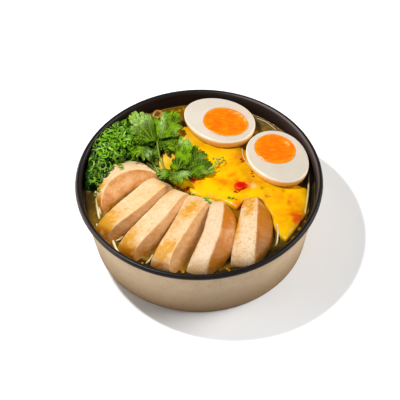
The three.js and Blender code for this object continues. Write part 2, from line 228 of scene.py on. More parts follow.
def smooth_path(points, steps):
    """Points along a smooth curve through a few given ones."""
    points = np.asarray(points, dtype=float)
    ends = np.vstack([2 * points[0] - points[1], points, 2 * points[-1] - points[-2]])
    along = []
    for i in range(len(points) - 1):
        a, b, c, d = ends[i:i + 4]
        t = np.linspace(0, 1, steps, endpoint=False)[:, None]
        along.append(0.5 * (2 * b + (c - a) * t + (2 * a - 5 * b + 4 * c - d) * t ** 2
                            + (3 * b - a - 3 * c + d) * t ** 3))
    return np.vstack(along + [points[-1:]])


def bands(rings, around):
    """The faces between neighbouring rings of points."""
    faces = []
    for ring in range(rings - 1):
        for i in range(around):
            k = (i + 1) % around
            low, high = ring * around, (ring + 1) * around
            faces.append([low + i, low + k, high + k, high + i])
    return faces


def tube(path, radius, sides):
    """A round strand along a path, closed at both ends. radius is one number or one for each point."""
    path = np.asarray(path, dtype=float)
    radius = np.broadcast_to(radius, len(path))
    ahead = np.gradient(path, axis=0)
    ahead /= np.linalg.norm(ahead, axis=1)[:, None]
    side = np.cross(ahead, UP)
    flat = np.linalg.norm(side, axis=1) < 0.05
    side[flat] = np.cross(ahead[flat], [1.0, 0.0, 0.0])
    side /= np.linalg.norm(side, axis=1)[:, None]
    over = np.cross(side, ahead)
    angles = 2 * np.pi * np.arange(sides) / sides
    ring = np.cos(angles)[None, :, None] * side[:, None] + np.sin(angles)[None, :, None] * over[:, None]
    points = (path[:, None] + ring * radius[:, None, None]).reshape(-1, 3)
    faces = bands(len(path), sides)
    faces.append(list(range(sides))[::-1])
    faces.append([(len(path) - 1) * sides + j for j in range(sides)])
    return points, faces


CRUMB_SIDES = 9
CRUMB_SQUASH = 0.6  # height over width
CRUMB_SLOPES = (-60, -20, 20, 60)  # degrees above the level of a crumb's middle, one for each ring


def crumb(centre, size, seed):
    """A small lumpy bit, a few dozen faces."""
    angles = np.linspace(0, 2 * np.pi, CRUMB_SIDES, endpoint=False)
    points = []
    for slope in CRUMB_SLOPES:
        ring = math.cos(math.radians(slope))
        height = CRUMB_SQUASH * math.sin(math.radians(slope))
        points += [[ring * math.cos(a), ring * math.sin(a), height] for a in angles]
    points += [[0, 0, -CRUMB_SQUASH], [0, 0, CRUMB_SQUASH]]
    points = np.array(points)
    points *= (1 + 0.35 * lumps(points, 0.9, seed))[:, None]
    faces = bands(len(CRUMB_SLOPES), CRUMB_SIDES)
    lowest, highest = len(points) - 2, len(points) - 1
    top_ring = CRUMB_SIDES * (len(CRUMB_SLOPES) - 1)
    for i in range(CRUMB_SIDES):
        k = (i + 1) % CRUMB_SIDES
        faces += [[k, i, lowest], [top_ring + i, top_ring + k, highest]]
    return points * size + centre, faces


# ---- What lies on top at a place, read from the frame ----
ABOVE_ALL = 100
TREES = {}
for node_name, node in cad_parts.items():
    triangles = [list(face.vertices) for face in node.data.polygons]
    TREES[node_name] = BVHTree.FromPolygons([v.co.copy() for v in node.data.vertices], triangles)


def surface_at(x, y, *names):
    """Name and height of the highest solid at a place, or None. names limits the solids asked."""
    best = None
    start = Vector((x * MM, y * MM, ABOVE_ALL * MM))
    for name in names or TREES:
        hit = TREES[name].ray_cast(start, Vector((0, 0, -1)))[0]
        if hit is not None and (best is None or hit.z / MM > best[1]):
            best = (name, hit.z / MM)
    return best


# ---- Finishes ----
BRIGHT_STUDIO = 0.7  # most paints are held back by this much, because the lamps are strong


def tint(red, green, blue, held_back=BRIGHT_STUDIO):
    """A paint-chart colour, 0 to 255, as the linear colour that shaders use."""
    def channel(value):
        share = value / 255
        return held_back * (share / 12.92 if share <= 0.04045 else ((share + 0.055) / 1.055) ** 2.4)
    return (channel(red), channel(green), channel(blue), 1.0)


class Recipe:
    """Builds a node tree by calls that take and give back sockets."""

    def __init__(self, tree):
        self.tree = tree

    def node(self, kind, inputs=None, **settings):
        made = self.tree.nodes.new("ShaderNode" + kind)
        for name, value in settings.items():
            setattr(made, name, value)
        for name, value in (inputs or {}).items():
            if isinstance(value, bpy.types.NodeSocket):
                self.tree.links.new(value, made.inputs[name])
            else:
                made.inputs[name].default_value = value
        return made

    def place(self):
        """A point's own place in the object."""
        return self.node("TexCoord").outputs["Object"]

    def stretched(self, place, scale):
        """A place whose pattern is stretched where scale is below 1."""
        return self.node("Mapping", {"Vector": place, "Scale": scale}).outputs[0]

    def noise(self, size, detail=2.0, roughness=0.5, distortion=0.0, place=None):
        """Cloudy values whose swells are about size millimetres across."""
        return self.node("TexNoise", {
            "Vector": place or self.place(), "Scale": 1 / (size * MM), "Detail": detail,
            "Roughness": roughness, "Distortion": distortion,
        }).outputs[0]

    def level(self, value, low, high, start=0.0, end=1.0):
        """A value that goes from start to end while the given one goes from low to high."""
        return self.node("MapRange", {
            "Value": value, "From Min": low, "From Max": high, "To Min": start, "To Max": end,
        }).outputs[0]

    def maths(self, operation, a, b=0.0):
        return self.node("Math", {0: a, 1: b}, operation=operation).outputs[0]

    def mix(self, share, a, b):
        return self.node("Mix", {0: share, 6: a, 7: b}, data_type="RGBA").outputs[2]

    def mark(self, name, output="Fac"):
        """The values that mark() stored on a piece."""
        return self.node("Attribute", attribute_name=name).outputs[output]

    def bump(self, height, depth, normal):
        return self.node("Bump", {"Height": height, "Distance": depth * MM, "Normal": normal}).outputs[0]

    def group(self, tree, **inputs):
        """An effect with its own values."""
        made = self.node("Group")
        made.node_tree = tree
        for name, value in inputs.items():
            socket = made.inputs[name.replace("_", " ").capitalize()]
            if isinstance(value, bpy.types.NodeSocket):
                self.tree.links.new(value, socket)
            else:
                socket.default_value = value
        return made.outputs[0]


def effect(name, inputs, output, kind):
    """An empty node group with named inputs. Gives back its recipe, its inputs and its output socket."""
    tree = bpy.data.node_groups.new(name, "ShaderNodeTree")
    for label, value in inputs.items():
        socket = tree.interface.new_socket(label, in_out="INPUT", socket_type="NodeSocketFloat")
        socket.default_value = value
    tree.interface.new_socket(output, in_out="OUTPUT", socket_type=kind)
    recipe = Recipe(tree)
    start = tree.nodes.new("NodeGroupInput")
    end = tree.nodes.new("NodeGroupOutput")
    return recipe, start.outputs, end.inputs[output]


def patches_effect():
    """Soft patches: 0 below the start value, 1 above the end value."""
    recipe, given, result = effect(
        "Patches", {"Scale": 100.0, "Start": 0.45, "End": 0.65, "Detail": 3.0}, "Mask", "NodeSocketFloat")
    cloud = recipe.node("TexNoise", {
        "Vector": recipe.place(), "Scale": given["Scale"], "Detail": given["Detail"], "Roughness": 0.55,
    }).outputs[0]
    mask = recipe.node("MapRange", {
        "Value": cloud, "From Min": given["Start"], "From Max": given["End"],
    }).outputs[0]
    recipe.tree.links.new(mask, result)
    return recipe.tree


def relief_effect():
    """Fine uneven relief in two sizes."""
    recipe, given, result = effect(
        "Relief", {"Scale": 500.0, "Depth": 0.0002}, "Normal", "NodeSocketVector")
    place = recipe.place()
    coarse = recipe.node("TexNoise", {"Vector": place, "Scale": given["Scale"], "Detail": 3.0}).outputs[0]
    finer = recipe.maths("MULTIPLY", given["Scale"], 4.3)
    fine = recipe.node("TexNoise", {"Vector": place, "Scale": finer, "Detail": 1.0}).outputs[0]
    height = recipe.maths("ADD", coarse, recipe.maths("MULTIPLY", fine, 0.35))
    normal = recipe.node("Bump", {"Height": height, "Distance": given["Depth"]}).outputs[0]
    recipe.tree.links.new(normal, result)
    return recipe.tree


PATCHES = patches_effect()
RELIEF = relief_effect()


def finish(name, build, depth=None, **plain):
    """A material. build(recipe) gives the sockets that vary, plain has the values that are the same all over,
    and depth is how far red, green and blue light gets into the stuff, in millimetres.
    """
    material = bpy.data.materials.new(name)
    material.use_nodes = True
    tree = material.node_tree
    shader = tree.nodes["Principled BSDF"]
    if depth:
        plain["Subsurface_Radius"] = [colour * MM for colour in depth]
        plain["Subsurface_Scale"] = 1.0
    for label, value in plain.items():
        shader.inputs[label.replace("_", " ")].default_value = value
    for label, socket in build(Recipe(tree)).items():
        tree.links.new(socket, shader.inputs[label.replace("_", " ")])
    return material


def kraft_finish():
    def build(r):
        place = r.place()
        height = r.node("SeparateXYZ", {0: place}).outputs[2]
        cloud = r.group(PATCHES, scale=90.0, start=0.35, end=0.7)
        base = r.mix(cloud, tint(223, 194, 157), tint(213, 183, 144))
        fibres = r.noise(1.4, 4.0, 0.7, 0.6, r.stretched(place, (1, 1, 0.45)))
        base = r.mix(r.level(fibres, 0.58, 0.74), base, tint(186, 156, 122))
        base = r.mix(r.level(fibres, 0.42, 0.3), base, tint(222, 200, 172))
        # Painted shade: the paper is painted darker towards the foot.
        low = r.level(height, 36 * MM, 0.0)
        base = r.mix(r.maths("MULTIPLY", low, 0.82), base, tint(150, 113, 66))
        return {
            "Base_Color": base,
            "Roughness": r.level(fibres, 0.3, 0.7, 0.72, 0.9),
            "Normal": r.group(RELIEF, scale=700.0, depth=0.00012),
        }
    return finish("kraft paper", build, Specular_IOR_Level=0.3)


def lining_finish():
    def build(r):
        cloud = r.group(PATCHES, scale=60.0, start=0.35, end=0.7)
        height = r.node("SeparateXYZ", {0: r.place()}).outputs[2]
        # Painted light: the lit stretch of the wall and a highlight along the lip are painted paler.
        painted_light = r.mark("painted_light")
        low = r.mix(painted_light, r.mix(cloud, tint(37, 24, 23), tint(42, 28, 27)), tint(56, 39, 36))
        high = r.mix(painted_light, tint(50, 38, 35), tint(90, 75, 69))
        lip = r.mix(painted_light, tint(14, 12, 11), tint(108, 95, 91))
        wall = r.mix(r.level(height, 48 * MM, 54.5 * MM), low, high)
        return {
            "Base_Color": r.mix(r.level(height, 55.8 * MM, BOWL_HEIGHT * MM), wall, lip),
            "Roughness": r.level(r.noise(3.0, 4.0), 0.3, 0.7, 0.34, 0.46),
            "Normal": r.group(RELIEF, scale=900.0, depth=0.00003),
        }
    return finish("black lining", build, Specular_IOR_Level=0.16)


def broth_finish():
    def build(r):
        cloud = r.group(PATCHES, scale=55.0, start=0.35, end=0.65)
        murk = r.group(PATCHES, scale=220.0, start=0.5, end=0.68)
        base = r.mix(cloud, tint(92, 66, 6), tint(122, 90, 14))
        base = r.mix(r.maths("MULTIPLY", murk, 0.5), base, tint(164, 130, 36))
        base = r.mix(r.mark("golden"), base, tint(170, 104, 6))
        # Painted shade: the broth is darker by the walls and in the front wall's shade.
        base = r.mix(r.mark("dark"), base, tint(26, 19, 8))
        # Painted highlight: the broth is paler where it climbs the wall.
        base = r.mix(r.mark("climb"), base, tint(168, 138, 66))
        return {
            "Base_Color": base,
            "Roughness": r.level(cloud, 0, 1, 0.08, 0.16),
            "Normal": r.group(RELIEF, scale=140.0, depth=0.0004),
        }
    return finish("broth", build, IOR=1.36)


def oil_finish():
    def build(r):
        return {
            "Base_Color": r.mix(r.group(PATCHES, scale=300.0), tint(146, 110, 12), tint(172, 134, 26)),
            "Normal": r.group(RELIEF, scale=300.0, depth=0.00003),
        }
    return finish("oil drops", build, Roughness=0.06, IOR=1.46)


def noodle_finish():
    def build(r):
        cloud = r.group(PATCHES, scale=160.0, start=0.35, end=0.65)
        base = r.mix(cloud, tint(226, 204, 140), tint(238, 224, 178))
        return {
            "Base_Color": r.mix(r.mark("fried"), base, tint(176, 112, 48)),
            "Normal": r.group(RELIEF, scale=900.0, depth=0.00005),
        }
    return finish("noodle", build, depth=(2.0, 1.4, 0.6), Subsurface_Weight=0.15, Roughness=0.28,
                  Specular_IOR_Level=0.4)


def cheese_finish():
    def build(r):
        broad = r.group(PATCHES, scale=38.0, start=0.46, end=0.64, detail=2.0)
        small = r.group(PATCHES, scale=150.0, start=0.58, end=0.72)
        base = r.mix(r.maths("MULTIPLY", broad, 0.5), tint(248, 194, 0), tint(244, 160, 0))
        base = r.mix(r.maths("MULTIPLY", small, 0.5), base, tint(236, 146, 0))
        # Paler in places: a fleck beside the chili, and painted light where the leaves shade the cheese.
        base = r.mix(r.mark("pale"), base, tint(255, 232, 130))
        base = r.mix(r.mark("browned"), base, tint(232, 132, 0))
        base = r.mix(r.mark("oiled"), base, tint(222, 84, 4))
        base = r.mix(r.mark("charred"), base, tint(140, 96, 4))
        return {
            "Base_Color": base,
            "Roughness": r.level(broad, 0, 1, 0.26, 0.36),
            "Normal": r.group(RELIEF, scale=210.0, depth=0.00025),
        }
    return finish("melted cheese", build, depth=(3.0, 2.0, 0.4), Subsurface_Weight=0.12,
                  Specular_IOR_Level=0.14)


def egg_white_finish():
    def build(r):
        cloud = r.group(PATCHES, scale=60.0, start=0.35, end=0.7)
        face = r.mix(cloud, tint(212, 203, 190), tint(204, 194, 176))
        face = r.mix(r.mark("halo"), face, tint(232, 196, 168))
        # Painted highlight: the rounded rim of the cut is painted brighter.
        base = r.mix(r.mark("rim"), face, tint(255, 236, 208, 0.95))
        # The peach below the rim is partly the egg's own tan skin and partly a painted glow of light from the
        # cheese.
        base = r.mix(r.mark("skin"), base, tint(255, 202, 122, 0.98))
        return {
            "Base_Color": base,
            "Roughness": r.level(cloud, 0, 1, 0.3, 0.4),
            "Normal": r.group(RELIEF, scale=260.0, depth=0.00008),
        }
    return finish("egg white", build, depth=(4.0, 3.0, 2.2), Subsurface_Weight=0.25, Specular_IOR_Level=0.35)


def egg_yolk_finish():
    def build(r):
        cloud = r.group(PATCHES, scale=110.0, start=0.4, end=0.7)
        streaks = r.noise(1.8, 3.0, place=r.stretched(r.place(), (0.3, 1.5, 1)))
        base = r.mix(cloud, tint(250, 102, 0), tint(250, 122, 0))
        base = r.mix(r.level(streaks, 0.48, 0.66), base, tint(250, 140, 0))
        base = r.mix(r.mark("margin"), base, tint(252, 152, 10))
        # Painted highlights: pale glints on the yolk.
        base = r.mix(r.mark("pale"), base, tint(255, 206, 128))
        return {
            "Base_Color": base,
            "Roughness": r.level(cloud, 0, 1, 0.14, 0.24),
            "Normal": r.bump(streaks, 0.3, r.group(RELIEF, scale=300.0, depth=0.0002)),
        }
    return finish("egg yolk", build, depth=(3.0, 1.2, 0.3), Subsurface_Weight=0.1, Specular_IOR_Level=0.3)


def chicken_finish():
    def build(r):
        place = r.mark("grain", "Vector")
        fibre = r.noise(1.1, 3.0, 0.6, 0.3, r.stretched(place, (0.35, 1.0, 1.0)))
        speck = r.noise(1.5, 2.0, 0.6, 0.0, place)
        cloud = r.group(PATCHES, scale=120.0, start=0.4, end=0.66)
        outside = r.mix(cloud, tint(232, 206, 168), tint(234, 200, 150))
        inside = r.mix(cloud, tint(234, 176, 114), tint(228, 160, 88))
        outside = r.mix(r.mark("pale"), outside, tint(224, 198, 164))
        base = r.mix(r.mark("cut"), outside, inside)
        base = r.mix(r.maths("MULTIPLY", r.level(fibre, 0.46, 0.3), 0.4), base, tint(200, 142, 84))
        pale = r.maths("MULTIPLY", r.level(fibre, 0.5, 0.7), r.level(r.mark("cut"), 0.0, 1.0, 0.45, 0.24))
        base = r.mix(pale, base, tint(250, 232, 204))
        base = r.mix(r.mark("seared"), base, tint(217, 152, 30))
        base = r.mix(r.mark("browned"), base, tint(190, 110, 0))
        # Painted shade and broth reflection: the right side is darker lower down and nearer.
        base = r.mix(r.mark("soaked"), base, tint(138, 86, 0))
        specks = r.maths("MULTIPLY", r.level(speck, 0.6, 0.68), r.mark("specked"))
        base = r.mix(specks, base, tint(190, 126, 48))
        height = r.maths("ADD", fibre, r.maths("MULTIPLY", speck, 0.5))
        return {
            "Base_Color": base,
            "Roughness": r.level(fibre, 0.3, 0.7, 0.36, 0.52),
            "Normal": r.bump(height, 0.16, r.group(RELIEF, scale=500.0, depth=0.00012)),
        }
    return finish("poached chicken", build, depth=(3.0, 1.8, 1.0), Subsurface_Weight=0.05,
                  Specular_IOR_Level=0.2)


def scallion_finish():
    def build(r):
        base = r.mix(r.mark("tone"), tint(2, 40, 0), tint(112, 172, 0))
        base = r.mix(r.mark("pale"), base, tint(168, 214, 84))
        return {
            "Base_Color": base,
            "Normal": r.group(RELIEF, scale=900.0, depth=0.00006),
        }
    return finish("scallion", build, depth=(0.8, 1.4, 0.4), Subsurface_Weight=0.1, Roughness=0.32,
                  Specular_IOR_Level=0.16)


def coriander_finish():
    def build(r):
        streaks = r.noise(1.0, 3.0, 0.6, 0.0, r.mark("vein_place", "Vector"))
        base = r.mix(r.mark("tone"), tint(6, 38, 0), tint(120, 164, 0))
        # Painted sheen: pale silvery streaks on the leaf.
        shine = r.maths("MULTIPLY", r.mark("painted_sheen"), r.level(streaks, 0.36, 0.56, 0.25, 1.0))
        base = r.mix(shine, base, tint(168, 196, 118))
        base = r.mix(r.maths("MULTIPLY", r.level(streaks, 0.48, 0.38), 0.75), base, tint(30, 72, 0))
        light = r.maths("MULTIPLY", r.level(streaks, 0.52, 0.66), r.level(r.mark("tone"), 0.0, 0.8, 0.1, 0.6))
        base = r.mix(light, base, tint(130, 172, 10))
        base = r.mix(r.mark("vein"), base, tint(150, 186, 44))
        return {
            "Base_Color": base,
            "Roughness": r.level(streaks, 0.3, 0.7, 0.4, 0.54),
            "Normal": r.bump(streaks, 0.3, r.group(RELIEF, scale=700.0, depth=0.00008)),
        }
    return finish("coriander leaf", build, depth=(0.6, 1.2, 0.2), Subsurface_Weight=0.08,
                  Specular_IOR_Level=0.02)


def stem_finish():
    def build(r):
        cloud = r.group(PATCHES, scale=120.0)
        pale = r.mix(cloud, tint(150, 186, 60), tint(190, 212, 118))
        return {
            "Base_Color": r.mix(r.mark("tone"), tint(84, 118, 4), pale),
            "Normal": r.group(RELIEF, scale=900.0, depth=0.00005),
        }
    return finish("coriander stem", build, depth=(1.2, 1.6, 0.4), Subsurface_Weight=0.1, Roughness=0.4,
                  Specular_IOR_Level=0.25)


def chili_finish():
    def build(r):
        cloud = r.group(PATCHES, scale=260.0, start=0.4, end=0.62)
        base = r.mix(cloud, tint(214, 10, 0), tint(196, 4, 0))
        base = r.mix(r.mark("orange"), base, tint(250, 104, 0))
        base = r.mix(r.mark("dark"), base, tint(112, 40, 4))
        return {
            "Base_Color": base,
            "Normal": r.group(RELIEF, scale=500.0, depth=0.0001),
        }
    return finish("red chili", build, Roughness=0.5, Specular_IOR_Level=0.05)


def floor_finish():
    def build(r):
        return {"Base_Color": r.mix(r.noise(400.0), tint(244, 245, 246, 1.0), tint(243, 244, 245, 1.0))}
    return finish("floor", build, Roughness=0.9)


KRAFT = kraft_finish()
LINING = lining_finish()
BROTH = broth_finish()
OIL = oil_finish()
NOODLE = noodle_finish()
CHEESE = cheese_finish()
EGG_WHITE = egg_white_finish()
EGG_YOLK = egg_yolk_finish()
CHICKEN = chicken_finish()
SCALLION = scallion_finish()
CORIANDER = coriander_finish()
STEM = stem_finish()
CHILI = chili_finish()


# ---- The paper bowl ----
def wall_outside(height):
    return FOOT_RADIUS + (NECK_RADIUS - FOOT_RADIUS) * height / NECK_HEIGHT


def wall_inside(height):
    return wall_outside(height) - PAPER


def arc(centre, radius, start, end, steps):
    """[radius, height] pairs on a round stretch of a profile, angles in degrees."""
    angles = np.radians(np.linspace(start, end, steps + 1))
    return [(centre[0] + radius * math.cos(a), centre[1] + radius * math.sin(a)) for a in angles]


def make_kraft_wall():
    """The outer paper: the cone, its rounded foot and the fold that holds the base's skirt."""
    layer = PAPER * KRAFT_SHARE
    bend = 0.6
    top = NECK_HEIGHT + 0.4
    fold = wall_inside(0) - 1.7
    fold_top = BASE_HEIGHT - 0.3
    profile = [(wall_outside(z), z) for z in np.linspace(top, 0.8, 22)]
    profile += arc((FOOT_RADIUS - bend, bend), bend, 0, -90, 4)
    profile += arc((fold - layer + bend, bend), bend, -90, -180, 4)
    profile += [(fold - layer, fold_top), (fold, fold_top), (fold, 1.0), (fold + 0.3, layer)]
    profile += [(wall_outside(0.8) - layer - 0.4, layer), (wall_outside(0.8) - layer, 0.9)]
    profile += [(wall_outside(z) - layer, z) for z in np.linspace(4, top, 8)]
    profile.append(profile[0])
    piece = turned(profile)
    smooth(piece)
    dress(piece, "kraft_wall", "kraft_paper", KRAFT, "bowl_wall")


def make_kraft_base():
    """The recessed base: a disc with a skirt turned down inside the wall's fold."""
    low = PAPER + 0.3
    skirt = wall_inside(0) - 1.1
    layer = PAPER * KRAFT_SHARE
    profile = [(0.01, BASE_HEIGHT), (30, BASE_HEIGHT), (60, BASE_HEIGHT), (skirt - 1.6, BASE_HEIGHT)]
    profile += arc((skirt - 1.4, BASE_HEIGHT - 0.8), 0.8, 90, 0, 4)
    profile += [(skirt - 0.4, low), (skirt, low)]
    profile += arc((skirt - 1.2, BASE_HEIGHT - 0.8 + layer), 1.2, 0, 90, 4)
    profile += [(60, BASE_HEIGHT + layer), (30, BASE_HEIGHT + layer), (0.01, BASE_HEIGHT + layer)]
    piece = turned(profile)
    smooth(piece)
    dress(piece, "kraft_base", "kraft_paper", KRAFT, "bowl_base")


# The lining is painted paler where light falls on it: painted light on one stretch of its wall, and a painted
# highlight on the lip where its surface faces the direction below, but hardly at the lip's front. Stretches are
# degrees round the bowl from +X.
WALL_LIT_AT, WALL_LIT_REACH = 12, 22
LIP_HIGHLIGHT_TOWARDS = np.array([-0.62, -0.3, 0.72])
LIP_DARK_AT, LIP_DARK_REACH = -110, 50
LIP_STARTS = 55.6


def make_lining():
    """The black inner layer: rolled rim, wall and floor in one shell."""
    layer = PAPER * (1 - KRAFT_SHARE)
    floor = BASE_HEIGHT + PAPER
    roll = (RIM_RADIUS - RIM_ROLL, BOWL_HEIGHT - RIM_ROLL)
    profile = arc(roll, RIM_ROLL, -125, 180, 28)
    corner = 1.4
    foot = wall_inside(floor + corner)
    profile += [(wall_inside(z), z) for z in np.linspace(NECK_HEIGHT, floor + corner, 22)]
    profile += arc((foot - corner, floor + corner), corner, 0, -90, 5)[1:]
    profile += [(70, floor), (50, floor), (25, floor), (0.01, floor)]
    profile += [(0.01, floor - layer), (50, floor - layer), (foot, floor - layer)]
    profile += [(wall_inside(z) + layer - 0.03, z) for z in np.linspace(floor, NECK_HEIGHT - 0.2, 6)]
    profile.append(profile[0])
    piece = turned(profile)
    points = points_of(piece)
    azimuth = np.degrees(np.arctan2(points[:, 1], points[:, 0]))
    # Painted light on the lit stretch of the wall, and a painted highlight on the lip.
    wall_painted_light = np.exp(-(((azimuth - WALL_LIT_AT) / WALL_LIT_REACH) ** 2))
    lip_highlight = np.clip((normals_of(piece) @ LIP_HIGHLIGHT_TOWARDS - 0.8) / 0.18, 0, 1)
    lip_highlight *= 1 - np.exp(-(((azimuth - LIP_DARK_AT) / LIP_DARK_REACH) ** 2))
    painted_light = np.where(points[:, 2] > LIP_STARTS, lip_highlight, wall_painted_light)
    mark(piece, "painted_light", painted_light * (points[:, 2] > floor + 1))
    smooth(piece)
    dress(piece, "black_lining", "black_lining", LINING)


# ---- Broth and oil ----
# Where the broth is golden, and where it is painted dark as painted shade, as (x, y, size along x, size along
# y, strength).
BROTH_GOLDEN = [(-34, -76, 16, 10, 0.7), (-12, -82, 14, 9, 0.8), (10, -82, 12, 8, 0.7), (28, -80, 8, 6, 0.4),
                (-66, -44, 8, 12, 0.35), (6, 80, 20, 6, 0.5), (28, -27, 5, 7, 1.2)]
BROTH_SHADE = [(86, 2, 7, 22, 1.0), (83, -24, 8, 14, 1.0), (72, -44, 9, 12, 0.75), (56, -64, 10, 6, 0.4),
              (-85, -12, 8, 22, 0.9)]
SHADE_STARTS = 76.3  # radius past which the broth lies in the shade of the front wall
OIL_DROPS = 100
OIL_DROP_SIDES = 12
OIL_NEAREST, OIL_FARTHEST = 40, 85.5  # from the bowl's middle


def make_broth():
    """The soup: it fills the bowl, climbs a little at the wall and ripples on top."""
    bottom = BASE_HEIGHT + PAPER + 0.3
    edge = wall_inside(BROTH_LEVEL) + 0.12
    profile = [(0.01, bottom), (60, bottom), (wall_inside(bottom) - 1.0, bottom)]
    profile += [(wall_inside(z) + 0.12, z) for z in (bottom + 1.5, 20, 32, BROTH_LEVEL)]
    climb = [(0.0, 0.4), (0.3, 0.22), (0.8, 0.1), (1.6, 0.03), (3.2, 0.0)]
    profile += [(edge - inwards, BROTH_LEVEL + rise) for inwards, rise in climb]
    profile += [(radius, BROTH_LEVEL) for radius in np.linspace(82, 2, 41)]
    profile.append((0.01, BROTH_LEVEL))
    piece = turned(profile)
    points = points_of(piece)
    top = points[:, 2] > BROTH_LEVEL - 0.01
    ripple = 0.12 * lumps(points, 9.0, 3) + 0.05 * lumps(points, 3.5, 4)
    points[top, 2] += ripple[top]
    move_points(piece, points)
    # Painted highlight on the meniscus, where the broth climbs the wall.
    mark(piece, "climb", np.clip((points[:, 2] - BROTH_LEVEL - 0.12) / 0.25, 0, 1) * 0.4)
    mark(piece, "golden", np.clip(spots(points, BROTH_GOLDEN), 0, 0.8))
    # Painted shade: darker in the listed places, and past SHADE_STARTS at the front.
    radius = np.hypot(points[:, 0], points[:, 1])
    shaded = np.clip((radius - SHADE_STARTS) / 1.6, 0, 1) * np.clip((-points[:, 1] - 50) / 15, 0, 1)
    mark(piece, "dark", np.clip(spots(points, BROTH_SHADE) + shaded, 0, 0.9))
    smooth(piece)
    dress(piece, "broth_soup", "broth", BROTH, "broth")


def oil_drop(centre, radius, height):
    """A flat drop: a low dome on the surface, closed below."""
    rings = [(1.0, -0.15), (0.97, 0.4 * height), (0.75, 0.85 * height), (0.35, height)]
    angles = 2 * np.pi * np.arange(OIL_DROP_SIDES) / OIL_DROP_SIDES
    points = [[radius * share * math.cos(a), radius * share * math.sin(a), rise]
              for share, rise in rings for a in angles]
    points.append([0, 0, height])
    faces = [list(range(OIL_DROP_SIDES))[::-1]] + bands(len(rings), OIL_DROP_SIDES)
    last = (len(rings) - 1) * OIL_DROP_SIDES
    faces += [[last + i, last + (i + 1) % OIL_DROP_SIDES, len(points) - 1] for i in range(OIL_DROP_SIDES)]
    return np.array(points) + centre, faces


def make_oil():
    """Drops of oil that float wherever the broth is bare."""
    chance = random.Random(11)
    drops = []
    while len(drops) < OIL_DROPS:
        turn = chance.uniform(0, 2 * math.pi)
        radius = chance.uniform(OIL_NEAREST, OIL_FARTHEST)
        x, y = radius * math.cos(turn), radius * math.sin(turn)
        hit = surface_at(x, y)
        if hit is None or hit[0] != "broth":
            continue
        size = min(0.35 + chance.expovariate(1.6), 2.2)
        drops.append(oil_drop((x, y, BROTH_LEVEL), size, 0.12 + 0.08 * size))
    piece = joined(drops)
    smooth(piece, 60)
    dress(piece, "oil_drops", "broth", OIL)


# ---- Noodles ----
NOODLE_RADIUS = 0.95
SUNK_NOODLES = 90
SUNK_FARTHEST = 76  # sunk strands stay this near to the bowl's middle
SUNK_HIGHEST = 40
# Strands that show at the surface, as (thickness over a whole noodle's, points that each passes through).
SHOWN_NOODLES = [
    (0.9, [(-79.3, 6.9, 42.0), (-77.9, -2.0, 44.4), (-77.0, -10.2, 44.9), (-76.0, -18.0, 44.9),
           (-74.9, -24.4, 44.6), (-73.7, -28.1, 42.0)]),
    (0.9, [(-77.0, 4.9, 42.0), (-76.0, -5.2, 44.6), (-75.1, -13.2, 44.9), (-74.1, -19.8, 44.7),
           (-73.1, -23.4, 42.0)]),
    (0.9, [(-76.5, -30.6, 43.0), (-75.1, -34.8, 44.7), (-73.7, -36.0, 43.2)]),
    (1.1, [(-64.3, -45.1, 42.0), (-63.0, -50.5, 44.8), (-61.9, -53.9, 45.0), (-60.4, -57.4, 44.8),
           (-58.9, -58.1, 42.0)]),
    (0.8, [(-61.3, -47.3, 43.5), (-59.7, -47.7, 44.9), (-57.9, -46.3, 44.9), (-56.3, -43.0, 43.0)]),
    (0.9, [(-39.6, -68.4, 43.0), (-37.7, -67.7, 45.0), (-35.9, -65.1, 45.0), (-34.6, -60.5, 43.0)]),
    (0.7, [(56.0, -33.0, 43.0), (56.4, -38.6, 46.4), (56.6, -43.6, 46.7), (56.2, -48.8, 46.2),
           (55.4, -53.9, 45.2), (53.9, -56.2, 42.0)]),
    (0.75, [(84.2, 13.0, 43.0), (83.4, 8.0, 45.6), (82.6, 1.1, 46.6), (81.9, -5.7, 46.8), (80.6, -14.4, 46.8),
            (78.9, -22.9, 46.2), (77.3, -30.0, 44.0)]),
    (0.35, [(45.0, 72.5, 43.0), (50.0, 68.9, 44.6), (54.3, 65.6, 44.8), (58.2, 61.6, 44.8),
            (62.4, 57.0, 43.4)]),
    (0.3, [(3.3, -78.0, 44.0), (7.7, -74.7, 44.8), (12.8, -70.2, 45.0), (17.3, -65.1, 45.2),
           (21.1, -59.4, 45.2), (23.5, -53.1, 44.0)]),
]
EGG_FRINGE = [(33.6, 40.5, 44), (34.0, 34.5, 47.6), (34.2, 29.0, 48.2), (35.8, 23.4, 48.3),
              (38.6, 18.2, 48.1), (42.0, 13, 45)]
FRIED_CURL = [(-34.0, 72.3, 45.5), (-35.0, 74.5, 46.6), (-33.8, 77.2, 47.2), (-31.6, 78.4, 47.4),
              (-29.2, 77.4, 47.2), (-28.8, 74.7, 46.8), (-30.2, 72.5, 46.2), (-32.1, 72.3, 45.8),
              (-32.8, 74.2, 45.6)]


def wandering_strand(chance):
    """The path of a sunk strand that wanders round the bowl, rising and falling."""
    turn = chance.uniform(0, 6.28)
    radius = chance.uniform(15, SUNK_FARTHEST)
    height = chance.uniform(14, SUNK_HIGHEST)
    steps = chance.randint(7, 11)
    way = chance.choice((-1, 1))
    points = []
    for _ in range(steps):
        points.append([radius * math.cos(turn), radius * math.sin(turn), height])
        turn += way * chance.uniform(0.18, 0.42)
        radius = min(max(radius + chance.uniform(-12, 12), 12), SUNK_FARTHEST)
        height = min(max(height + chance.uniform(-4, 4), 13), SUNK_HIGHEST)
    return smooth_path(points, 5)


